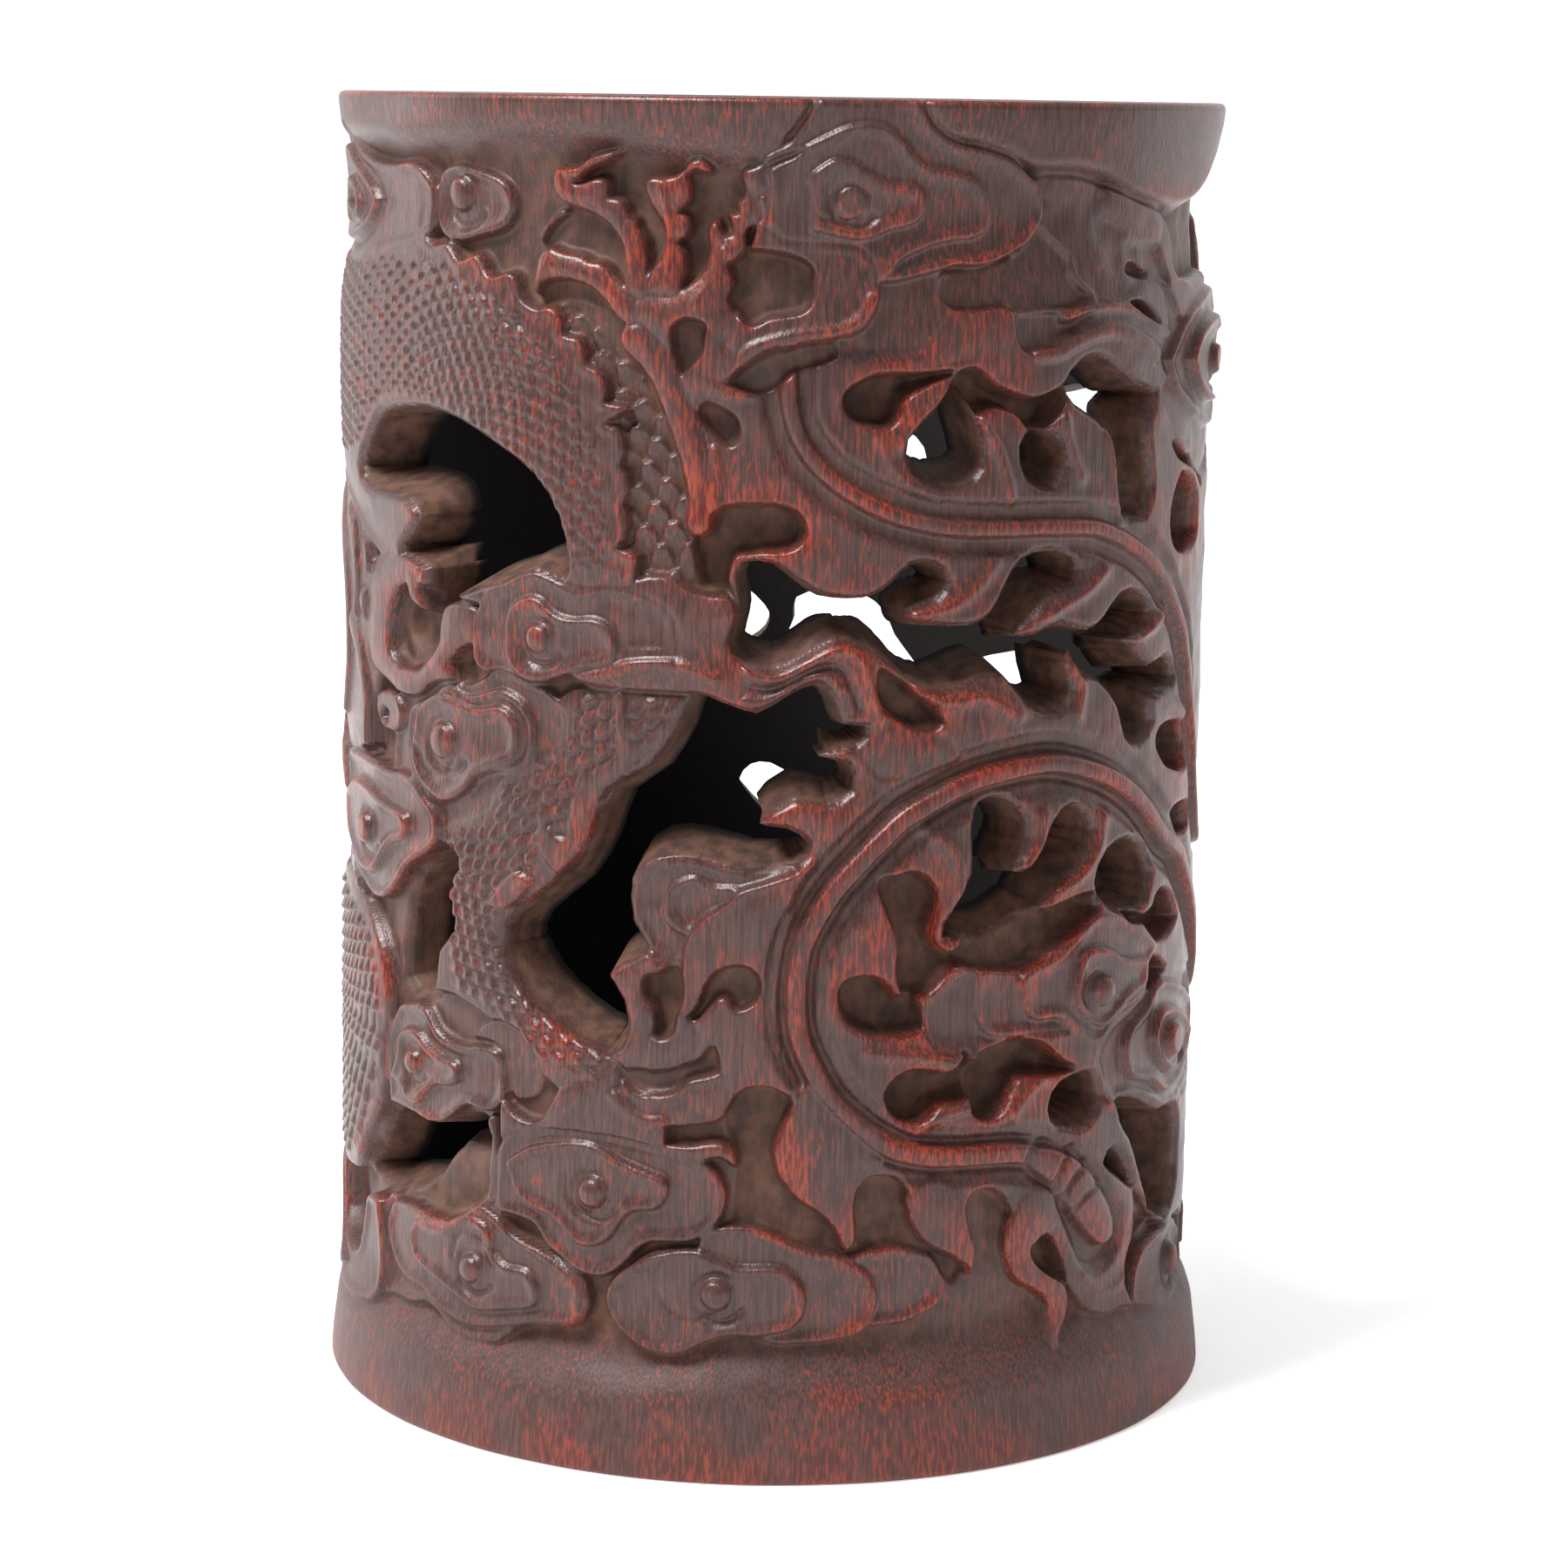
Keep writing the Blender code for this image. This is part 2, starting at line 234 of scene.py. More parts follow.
# How far round the wall the curl's two side holes are repeated, in degrees.
SIDE_CURL_TURN = 223

BACK_OPENINGS = {
    "back_bow": [
        (106, 111), (112, 110), (120, 110), (129, 109.2), (137, 108.6), (144, 108.3), (147, 110.3),
        (141, 112.4), (132, 114), (124, 115.6), (115, 115.8), (108, 114.6)],
    "back_plume_gap": [
        (153.8, 76.8), (156, 79.3), (159, 82), (161, 85), (165, 87), (171, 87.5), (176.6, 86.2),
        (177, 83.2), (178.4, 80.7), (179.3, 77.5), (175, 75.4), (168, 74.8), (160, 74.4), (156, 74.8)],
    "back_body_gap": [
        (181.1, 84.2), (183.5, 86.4), (189, 90), (196, 95.5), (204, 100.5), (210, 101), (214, 96.5),
        (211, 89), (203, 84), (195, 80.5), (188, 78.6), (184, 80.4), (181.6, 82)],
    "back_slit": [
        (127, 78), (128.4, 81.6), (134, 81.7), (140, 80.5), (146, 79.2), (144.4, 77.2), (141, 75),
        (135, 73.6), (129, 74.6)],
    "back_eye": [
        (185.9, 62.4), (184, 64.3), (180.5, 64.5), (176, 62.6), (171, 60.5), (169.5, 57), (173, 55.3),
        (178, 56.2), (181.9, 58.4), (184.4, 60.6)],
    "back_window": [
        (154, 103), (154.2, 106.2), (158, 108.3), (163, 107), (166, 104), (163.5, 101), (158, 100.4)],
    "back_low_hollow": [
        (150, 27), (155, 35), (162, 41), (169, 44.5), (173.5, 41), (172, 34), (166, 28), (158, 23.5),
        (152, 23)],
    "back_low_window": [(193, 21), (198, 26.5), (205, 30), (213, 31), (217, 27), (210, 22), (200, 19)],
    "right_side_hollow": [
        (97, 49), (99, 57), (104, 64), (111, 69), (119, 70.5), (123, 66), (119, 58), (112, 51), (104, 46)],
    "right_side_window": [(84, 88), (87, 94), (93, 98), (99, 98), (100, 94), (94, 89), (88, 86)],
    "right_side_top": [(76, 118), (80, 123), (87, 125.5), (94, 124.5), (92, 120), (84, 117)],
    "right_side_low": [(103, 21), (108, 27), (116, 30), (123, 29), (121, 24), (113, 20)],
    "left_side_top_curl": [
        (248.2, 73), (250.5, 75.2), (254, 75.2), (257.4, 72.5), (256.6, 69), (258.5, 67.3), (260.5, 70.5),
        (263, 73.2), (266, 73.4), (268.3, 70.7), (266.5, 67.4), (261, 64), (257, 61), (253, 60),
        (245.4, 60.4), (246.8, 63.8), (249.3, 67)],
    "left_side_curl": turned(FRONT_OPENINGS["curl_window_side"], SIDE_CURL_TURN),
    "left_side_low_curl": turned(FRONT_OPENINGS["curl_window_low"], SIDE_CURL_TURN),
    "left_side_hollow": [
        (228, 26), (232, 32), (239, 35), (247, 34), (250, 29), (245, 24), (236, 21.5)],
    "left_back_window": [
        (223.5, 60), (222.5, 66), (224, 73), (229, 78.5), (235, 80.5), (240, 78.5), (242.3, 72),
        (241.3, 65), (236.5, 60), (229.5, 58)],
}


def smooth_outline(points):
    """Halve every side of a closed outline on a Catmull-Rom curve, just as the CAD model does."""
    count = len(points)
    outline = []
    for i in range(count):
        before, start, end, after = (points[(i + k) % count] for k in (-1, 0, 1, 2))
        outline.append(start)
        middle = [(9 * (start[k] + end[k]) - before[k] - after[k]) / 16 for k in (0, 1)]
        outline.append(tuple(middle))
    return outline


def unit(vector):
    """The vector with a length of one."""
    return vector / max(np.hypot(*vector), 1e-9)


def curve(points, closed, pieces=4):
    """A smooth line through points in millimetres that keeps the corner at every sharp turn."""
    count = len(points)
    tangents = []
    for i in range(count):
        before, after = points[i - 1], points[(i + 1) % count]
        if not closed and i in (0, count - 1):
            before, after = points[max(i - 1, 0)], points[min(i + 1, count - 1)]
        arriving, leaving = unit(points[i] - before), unit(after - points[i])
        sharp = float(arriving @ leaving) < math.cos(SHARP_TURN)
        tangents.append(np.zeros(2) if sharp and (closed or 0 < i < count - 1) else unit(after - before))
    line = []
    for i in range(count if closed else count - 1):
        start, end = points[i], points[(i + 1) % count]
        reach = np.hypot(*(end - start))
        first, last = tangents[i] * reach, tangents[(i + 1) % count] * reach
        for t in np.arange(pieces) / pieces:
            line.append(
                (2 * t**3 - 3 * t**2 + 1) * start + (t**3 - 2 * t**2 + t) * first
                + (3 * t**2 - 2 * t**3) * end + (t**3 - t**2) * last)
    line.append(points[0] if closed else points[-1])
    return np.array(line)


def nearest(line, across, up):
    """Distance to the line, how far along it the nearest point is (0 to 1), and on which side."""
    best = np.full(across.shape, 1e9, np.float32)
    along = np.zeros(across.shape, np.float32)
    side = np.ones(across.shape, np.float32)
    for i in range(len(line) - 1):
        start, step = line[i], line[i + 1] - line[i]
        x, y = across - start[0], up - start[1]
        t = np.clip((x * step[0] + y * step[1]) / max(float(step @ step), 1e-9), 0, 1)
        far = np.hypot(x - t * step[0], y - t * step[1])
        near = far < best
        best[near] = far[near]
        along[near] = i + t[near]
        side[near] = np.where(step[0] * y - step[1] * x > 0, 1, -1)[near]
    return best, along / (len(line) - 1), side


def inside(line, across, up):
    """Whether each place lies inside a closed line."""
    within = np.zeros(across.shape, bool)
    for (x0, y0), (x1, y1) in zip(line, line[1:]):
        if y0 != y1:
            level = (up >= min(y0, y1)) & (up < max(y0, y1))
            within ^= level & (across < x0 + (up - y0) * (x1 - x0) / (y1 - y0))
    return within


def ease(x):
    """Smooth step from 0 to 1."""
    x = np.clip(x, 0, 1)
    return x * x * (3 - 2 * x)


def blurred(field, spread):
    """A field on the grid with a Gaussian blur of that spread in millimetres."""
    tall = np.pad(field, ((BLUR_PADDING, BLUR_PADDING), (0, 0)), mode="edge")
    up = np.fft.fftfreq(tall.shape[0], STEP_UP)[:, None]
    across = np.fft.rfftfreq(tall.shape[1], STEP_ROUND)[None, :]
    fade = np.exp(-2 * (math.pi * spread) ** 2 * (up**2 + across**2))
    result = np.fft.irfft2(np.fft.rfft2(tall) * fade, s=tall.shape)
    return result[BLUR_PADDING:-BLUR_PADDING]


class Relief:
    """The outside of the wall, unrolled, and the tools that carve it."""

    def __init__(self):
        self.height = np.full((ROWS + 1, COLUMNS), GROUND)
        self.clear = np.full((ROWS + 1, COLUMNS), FAR_FROM_HOLES)
        self.move()

    def move(self, anchor=(0, 0), target=(0, 0), flip=1, size=1.0):
        """Put the next motifs so that the anchor lands on the target, resized, mirrored if flip is -1."""
        self.anchor, self.target, self.flip, self.size = anchor, target, flip, size

    def placed(self, points):
        """Points in millimetres on the unrolled wall."""
        places = np.array(points, float)
        places = (places - self.anchor) * [self.flip * self.size, self.size] + self.target
        places[:, 0] *= MM_PER_DEGREE
        return places

    def window(self, line, margin):
        """The grid places around a line: their index, and their millimetres across and up."""
        low, high = line.min(0) - margin, line.max(0) + margin
        first, last = math.floor(low[1] / STEP_UP), math.ceil(high[1] / STEP_UP)
        rows = np.arange(max(first, 0), min(last, ROWS) + 1)
        columns = np.arange(math.floor(low[0] / STEP_ROUND), math.ceil(high[0] / STEP_ROUND) + 1)
        across, up = np.meshgrid(columns * STEP_ROUND, rows * STEP_UP)
        return np.ix_(rows, columns % COLUMNS), across, up

    def outline(self, points):
        """A smooth closed line in millimetres through places on the wall."""
        return curve(self.placed(points), True)

    def signed(self, line, margin):
        """Distance in from a closed line, in its window."""
        place, across, up = self.window(line, margin)
        far = nearest(line, across, up)[0]
        return place, np.where(inside(line, across, up), far, -far), across, up

    def lay(self, points, level, edge=0.7, lip=0.0, dome=0.0, reach=2.0):
        """Set what is inside an outline to a level, with a crown or a raised lip."""
        place, depth, _, _ = self.signed(self.outline(points), edge)
        inner = np.maximum(depth, 0)
        top = level + dome * (1 - np.exp(-inner / reach))
        top = top + lip * np.exp(-((inner - LIP_INSET) / LIP_SPREAD) ** 2)
        cover = ease(depth / edge + 0.5)
        self.height[place] += (top - self.height[place]) * cover

    def beside(self, points, widths):
        """The places beside a line: their index, distance to it, and the line's half width there."""
        line = curve(self.placed(points), False)
        place, across, up = self.window(line, max(widths))
        far, along, _ = nearest(line, across, up)
        return place, far, (widths[0] + (widths[1] - widths[0]) * along) / 2

    def strap(self, points, widths, level, edge=0.6, dome=0.4):
        """A raised band along a line, as wide at each end as the two widths."""
        place, far, half = self.beside(points, widths)
        round_top = np.sqrt(np.clip(1 - (far / half) ** 2, 0, 1))
        cover = ease((half - far) / edge + 0.5)
        self.height[place] += (level - dome + dome * round_top - self.height[place]) * cover

    def rib(self, points, widths, rise):
        """Add a rounded ridge along a line, or a groove if rise is negative."""
        place, far, half = self.beside(points, widths)
        self.height[place] += rise * np.exp(-(far / half) ** 2 * RIB_FALL)

    def pocket(self, points, floor=POCKET, edge=0.9):
        """A blind hollow with steep sides and a dished floor."""
        self.lay(points, floor + DISH, edge=edge, dome=-DISH, reach=1.5)

    def knob(self, round_, up, radius, level):
        """A small raised button with a groove that curls out from under it."""
        middle = self.placed([(round_, up)])[0]
        radius = radius * self.size
        turns = np.radians(np.arange(*CURL_TURNS))
        reach = radius * np.linspace(*CURL_REACH, len(turns))[:, None]
        curl = middle + reach * np.stack([np.cos(turns) * self.flip, np.sin(turns)], 1)
        self.groove(curl, width=0.4, depth=0.55)
        turns = np.radians(np.arange(0, 360, 30))
        circle = middle + radius * np.stack([np.cos(turns), np.sin(turns)], 1)
        place, depth, _, _ = self.signed(curve(circle, True), 1.6)
        top = level + KNOB_CROWN * (1 - np.exp(-np.maximum(depth, 0) / 0.7))
        self.height[place] += (top - self.height[place]) * ease(depth / 0.5 + 0.5)

    def groove(self, points, width, depth):
        """Cut a groove along points in millimetres on the wall, deeper towards its end."""
        line = curve(points, False)
        place, across, up = self.window(line, 3 * width)
        far, along, _ = nearest(line, across, up)
        self.height[place] -= depth * (0.5 + 0.5 * along) * np.exp(-((far / width) ** 2))

    def scales(self, points, line, size, rise):
        """Overlapping scales inside an outline, in rows across a line; each is size (long, wide)."""
        place, depth, across, up = self.signed(self.outline(points), 0.5)
        spine = curve(self.placed(line), False)
        far, along, side = nearest(spine, across, up)
        length = np.hypot(*np.diff(spine, axis=0).T).sum()
        t = far * side / size[1]
        s = along * length / size[0]
        top = np.zeros(across.shape)
        done = np.zeros(across.shape, bool)
        for row in (-1, 0, 1):
            number = np.floor(s) + row
            x = t - 0.5 * (number % 2)
            x, y = x - np.round(x), s - number
            tip = np.sqrt(np.clip(1 - (np.maximum(y, 0) / SCALE_TIP) ** 2, 0, 1))
            within = ~done & (np.abs(x) < 0.5 * tip)
            top = np.where(within, ((y + 1) / (1 + SCALE_TIP)) ** 1.4 - SCALE_HOLLOW * x**2, top)
            done |= within
        self.height[place] += rise * (top - 0.5) * ease(depth / 0.9)

    def open(self, points):
        """A hole right through the wall, with its edge rounded over."""
        line = self.placed(smooth_outline(points))
        line = np.vstack([line, line[:1]])
        place, depth, _, _ = self.signed(line, HOLE_MARGIN)
        self.clear[place] = np.minimum(self.clear[place], -depth)
        worn = np.clip(1 + np.minimum(depth, 0) / HOLE_ROUNDING, 0, 1) ** 2
        self.height[place] -= HOLE_ROUNDING * worn

    def hand_work(self):
        """Slight unevenness all over, and no edge as crisp as a machine's."""
        self.height = blurred(self.height, KNIFE_BLUR)
        noise = np.random.default_rng(SEED).normal(size=self.height.shape)
        carved = blurred(np.clip(-self.height, 0.1, 1), 1.0)
        for spread, depth in UNEVENNESS:
            wave = blurred(noise, spread)
            self.height += wave * carved * depth / wave.std()


# Each cloud: its terraces (level, outline) from the lowest up, its knob (round, up, radius, level), and
# the groove that curls round the knob.
CLOUDS = {
    "rim_left": ([
        (-1.1, [
            (-92, 141.5), (-86, 143), (-80, 147), (-72, 144), (-66, 142.5), (-60, 142.2), (-54, 142.4),
            (-50.5, 140.5), (-50, 138), (-50.8, 134.6), (-60, 132.8), (-72, 131), (-86, 131.6),
            (-92, 133.5), (-95, 138)]),
        (-0.4, [
            (-88, 136), (-79, 144), (-72, 142), (-66, 139.6), (-64, 138), (-67, 135.6), (-74, 133.4),
            (-84, 133.8)]),
        (0.1, [(-80, 137), (-76, 140.6), (-71.4, 139), (-70, 137.4), (-72, 135.8), (-77, 135.2)]),
    ], (-75, 137.6, 1.2, 0.3), None),
    "rim_small": ([
        (-1.6, [
            (-49.3, 141.3), (-46, 142.3), (-41, 141.8), (-37, 140.6), (-35.6, 138.4), (-36.3, 136.4),
            (-38, 135.4), (-41, 134.8), (-46, 134), (-49.5, 135.3), (-50.2, 138)]),
    ], (-44.6, 139.2, 1.9, -0.9), None),
    "shoulder": ([
        (-1, [
            (-39, 96.4), (-35, 98.4), (-33, 99.4), (-31, 99.6), (-29, 99.3), (-27, 98.5), (-25, 97.7),
            (-20, 98.4), (-12.5, 96), (-12, 91), (-19.5, 90.4), (-22, 89.4), (-27, 88), (-30, 87.1),
            (-40, 88), (-41, 92)]),
        (-0.5, [
            (-35, 93), (-34.3, 95.2), (-32, 96.5), (-30, 96.5), (-28.5, 95.5), (-27, 94.8), (-25, 94.6),
            (-22.5, 94.8), (-20.5, 94.2), (-19.5, 93), (-19.2, 91.5), (-19.8, 90.3), (-21.5, 89.7),
            (-24, 89.2), (-27, 88.2), (-31, 87.4), (-34.5, 89)]),
    ], (-30, 92.2, 1.6, -0.1), None),
    "flank": ([
        (-1.8, [
            (-56, 86), (-46, 86.5), (-43, 86), (-40, 86.9), (-37, 88.2), (-32, 87.2), (-30, 86.8),
            (-28, 85.8), (-26.5, 85), (-25.7, 83.5), (-25.8, 81.5), (-27, 79.8), (-29, 78.7), (-33, 76.8),
            (-35, 76), (-36.5, 74), (-37.5, 72), (-40, 70.5), (-43, 69.8), (-48, 69), (-60, 74)]),
        (-1.3, [
            (-54, 82), (-50, 83.7), (-46, 85.6), (-42, 84.9), (-40, 85.2), (-36, 86), (-32, 84), (-31, 80),
            (-33, 77.4), (-37, 76.8), (-40.5, 75.6), (-42, 74.2), (-44, 73), (-46, 72.4), (-48.5, 72.2),
            (-54, 75)]),
        (-0.7, [
            (-52, 80), (-51, 82.8), (-47, 84.5), (-44, 84.2), (-40, 83.7), (-36.5, 84.2), (-34.7, 83.7),
            (-33.3, 82), (-33.2, 80), (-34, 78.5), (-36, 77.7), (-40, 76.2), (-41.5, 74.5), (-44, 73.2),
            (-47, 72.7), (-51, 74.5), (-53, 77)]),
    ], (-45.8, 79.5, 2, -0.2), [
        (-52, 78.5), (-50.5, 76.3), (-48.5, 75.4), (-46, 75.8), (-44.3, 77.2)]),
    "side": ([
        (-0.9, [
            (-78, 74.5), (-70, 75), (-63, 75), (-59, 74.5), (-56, 74.8), (-53, 74.3), (-50.5, 73),
            (-48.7, 71.8), (-47.7, 70.2), (-47.5, 68.7), (-48.3, 67.2), (-50, 66), (-52.5, 65), (-54.5, 64),
            (-56, 62.8), (-58, 61), (-60, 59.8), (-63, 59.1), (-66, 59.6), (-70, 60.8), (-80, 63)]),
        (-0.2, [
            (-76, 70), (-70, 72.2), (-64, 72), (-61, 71.3), (-58, 70.8), (-55.5, 70.5), (-53.5, 69.8),
            (-53.3, 68.3), (-54.5, 67.2), (-57, 66.5), (-59, 65.3), (-61, 63.8), (-63, 62.3), (-66, 61.9),
            (-70, 63), (-75, 66)]),
    ], (-64.8, 67.2, 1.9, 0.4), None),
    "hollow": ([
        (-1.5, [
            (-60, 35.6), (-61, 42), (-57.5, 47.6), (-55, 48.3), (-52.5, 48.7), (-50.5, 48.3), (-49.5, 47.5),
            (-48, 46.3), (-46, 45.6), (-43, 45.3), (-40, 45.7), (-37.5, 45.6), (-36, 44.7), (-35, 43),
            (-35.2, 41.5), (-36.4, 39.4), (-38.5, 38.3), (-42, 38.5), (-43.5, 38), (-45, 36.8),
            (-46.5, 35.8), (-48, 35), (-54, 35.7)]),
        (-0.8, [
            (-57, 42), (-56.3, 44.6), (-53.5, 45.7), (-51.5, 45.4), (-50, 44.6), (-48, 43.9), (-46, 43.5),
            (-44, 43.3), (-43.1, 42.5), (-43.2, 41.2), (-46, 40.2), (-48, 40), (-50, 38.7), (-51.5, 37.3),
            (-53, 37), (-54.5, 37.3), (-56, 38.5), (-59, 39)]),
    ], (-52.6, 41.9, 1.5, -0.4), None),
    "foot_left": ([
        (-1.4, [
            (-75, 21), (-68, 23), (-62.5, 23.6), (-59.6, 25.2), (-57.5, 24.6), (-53, 25.2), (-48, 24.4),
            (-43, 26), (-39, 28.4), (-36, 27.5), (-30.5, 24.4), (-27, 23.2), (-23.5, 21.4), (-22.7, 19.5),
            (-22.6, 18), (-23.5, 16.3), (-25.5, 15.2), (-28, 14.9), (-33, 14.3), (-35, 13), (-37, 11.9),
            (-44, 11.8), (-50, 13.9), (-54, 13.2), (-60, 13), (-64, 11), (-70, 10.4), (-78, 12)]),
        (-0.9, [
            (-50, 15), (-51, 15.6), (-54.5, 15.9), (-57, 16.6), (-58.8, 18), (-59.8, 20), (-60, 22),
            (-59, 23.8), (-57.2, 24.8), (-53, 24.8), (-45, 25), (-40, 27.4), (-36, 26.4), (-30, 24),
            (-24.3, 21), (-23.4, 18.2), (-25, 16), (-30, 15.4), (-36, 14), (-42, 13.2)]),
        (-0.45, [
            (-43.5, 16.4), (-47.5, 17.6), (-50, 18.2), (-52, 18.9), (-53, 20), (-53.4, 21.5), (-52.8, 22.7),
            (-51.3, 23.8), (-46, 24.2), (-42, 26), (-38, 25.5), (-36.5, 22.5), (-35, 21.5), (-32, 21.4),
            (-31, 21), (-30, 19.8), (-29.7, 18.5), (-30.3, 17.4), (-32, 16.8), (-36, 16), (-40, 15.4)]),
    ], (-40.4, 20.1, 1.6, 0.1), [
        (-44.2, 21), (-43.7, 22.8), (-42.3, 23.9), (-40, 24.2), (-38, 23.6), (-36.6, 22.6)]),
    "foot_upper": ([
        (-1.3, [
            (-37, 27), (-33.5, 27), (-31, 26.5), (-29, 24.5), (-27, 23.3), (-25, 22.3), (-23, 21.8),
            (-21, 21.8), (-19, 22.6), (-17.5, 23.8), (-16, 25.4), (-14.5, 26.2), (-12, 26.4), (-10, 26.5),
            (-8, 27.2), (-6, 28.8), (-5, 30.5), (-4.8, 32.5), (-5.6, 34.2), (-8, 36), (-20, 38), (-34, 37),
            (-37, 33)]),
        (-0.6, [
            (-34.8, 33.4), (-34, 31.5), (-33, 29.7), (-31, 28.7), (-28, 28), (-26, 26.8), (-24.5, 25.5),
            (-23, 25.2), (-21, 25.6), (-19.5, 26.6), (-18.5, 28), (-17.5, 29.2), (-16, 29.9), (-14, 30.1),
            (-12.7, 31), (-12, 32.5), (-12.5, 33.7), (-14, 34.2), (-18, 35.3), (-23, 37), (-31, 35.6)]),
    ], (-22, 31.5, 1.7, -0.1), [
        (-25.9, 33), (-25.7, 31), (-24.7, 29.6), (-23, 29), (-21, 29.3), (-19.9, 31)]),
    "foot_middle": ([
        (-1.9, [
            (10, 25), (15, 26.1), (18, 25.8), (20, 25.3), (22, 24.5), (23.5, 23), (24.2, 21.5), (24, 20),
            (23, 18.8), (21, 17.9), (18.5, 17.1), (14, 16.9), (10, 17)]),
        (-1.4, [
            (-8, 27.5), (-4, 28.7), (0, 28.3), (3, 27.1), (6, 26), (9, 25.6), (12, 24), (13.2, 23.2),
            (14, 22), (14.6, 20.5), (14.3, 19), (13, 16.8), (11, 16), (9, 15.6), (6, 15.4), (0, 15.6),
            (-8, 20)]),
        (-0.7, [
            (-20.3, 19), (-20.1, 20.7), (-19, 22.2), (-17.1, 23.5), (-14, 25.2), (-9, 25.9), (-7, 25.4),
            (-5, 24.7), (-3, 24.2), (0, 24.3), (2, 24.2), (3.5, 23.5), (4.8, 22), (5.3, 20.5), (5.1, 19),
            (4.2, 17.8), (3, 17), (-1, 16.4), (-4, 16.3), (-6, 15.8), (-8, 15), (-10, 14), (-12.5, 13.7),
            (-15, 14.1), (-17.5, 15.3), (-19.3, 16.8)]),
    ], (-5.9, 21, 1.75, -0.2), [
        (-8.6, 25.3), (-11.5, 25), (-13.4, 23.2), (-13.4, 21), (-12.5, 19.6), (-11, 18.6), (-9, 18.1),
        (-7, 18.3), (-5, 19)]),
    "curl": ([
        (-1.9, [
            (19.7, 53.2), (21, 54.5), (23, 55.8), (26, 57), (32, 57.4), (36, 56), (40, 50), (34, 47.9),
            (28, 47.2), (23.5, 47.3), (21.5, 48), (19.8, 50.5)]),
        (-1.4, [
            (27.3, 56.4), (27, 54), (27.2, 51.5), (28, 50), (29.5, 48.8), (34, 48.4), (42, 48), (40, 57),
            (33, 57.3)]),
        (-0.8, [
            (33.4, 54.6), (35, 56), (37, 56.5), (39, 57), (41, 58), (43, 59.3), (45, 60.5), (47, 61),
            (49, 60.8), (51, 60.3), (53, 59.2), (55, 58.5), (57, 57.8), (60.5, 56.2), (62, 55.3),
            (58.3, 53), (58.3, 51.3), (57.5, 50.2), (55, 49.5), (52.5, 49), (51, 48.2), (50, 47),
            (47.5, 46.1), (46, 46.3), (44, 47.2), (42, 48.5), (40, 49.8), (36.5, 50), (35, 50.7), (34, 52)]),
        (-0.3, [
            (42.3, 54), (43.5, 56.7), (45, 57.2), (47, 57.2), (49, 56.8), (51, 55.7), (53, 55.1),
            (57.6, 54.6), (57.5, 51.6), (54, 50.6), (51, 49.4), (48, 48), (44.5, 49.4), (42, 51.5)]),
    ], (47.4, 52.2, 1.75, 0.2), None),
    "right": ([
        (-1.3, [
            (47.2, 44.4), (48.6, 46.6), (51, 48.3), (55, 49.4), (58, 50.4), (62, 52), (70, 51.6), (80, 50),
            (82, 36), (68, 34.6), (60, 37.2), (55, 38.6), (51.8, 38.4), (49.6, 40), (48, 42)]),
        (-0.7, [
            (53, 44), (53.3, 45.7), (54.5, 47), (56.5, 47.8), (58.5, 48.6), (60.5, 50), (62, 50.9),
            (65, 50.8), (72, 49), (80, 46), (78, 40), (66, 37.2), (60, 39.6), (57, 40.2), (54.5, 41.2)]),
        (-0.1, [
            (59.8, 44.5), (60.3, 46), (61.5, 47.3), (63.5, 47.8), (66, 47.5), (72, 45.6), (76, 43),
            (72, 40.4), (66, 39.6), (62, 41.4)]),
    ], (66, 43.6, 2.2, 0.4), None),
}


def cloud(relief, terraces, knob, ring=None):
    """A cloud of stacked terraces, lowest first, with a round knob on top."""
    for level, points in terraces:
        relief.lay(points, level, edge=0.4, lip=0.4)
    relief.knob(*knob)
    if ring:
        relief.rib(ring, (0.7, 0.7), -0.3)


def bands(relief):
    """The ground, which flows out smoothly into the plain rim and foot."""
    turn = np.radians(ROUND)
    wander = 0.9 * np.sin(3 * turn + 0.6) + 0.6 * np.sin(7 * turn + 2)
    foot = ease((UP[:, None] - FOOT_BAND - 0.7 * wander) / FOOT_SLOPE)
    rim = ease((RIM_BAND - UP[:, None] - wander) / RIM_SLOPE)
    relief.height[:] = GROUND * np.minimum(foot, rim)
    relief.lay([
        (24, 143.6), (33, 142.9), (38, 143), (44, 142.3), (47, 141.2), (50, 140.2), (54, 139.5),
        (58, 138.8), (64, 138.5), (70, 139.5), (76, 142), (82, 146), (82, 152), (24, 152)], 0, edge=2.4)


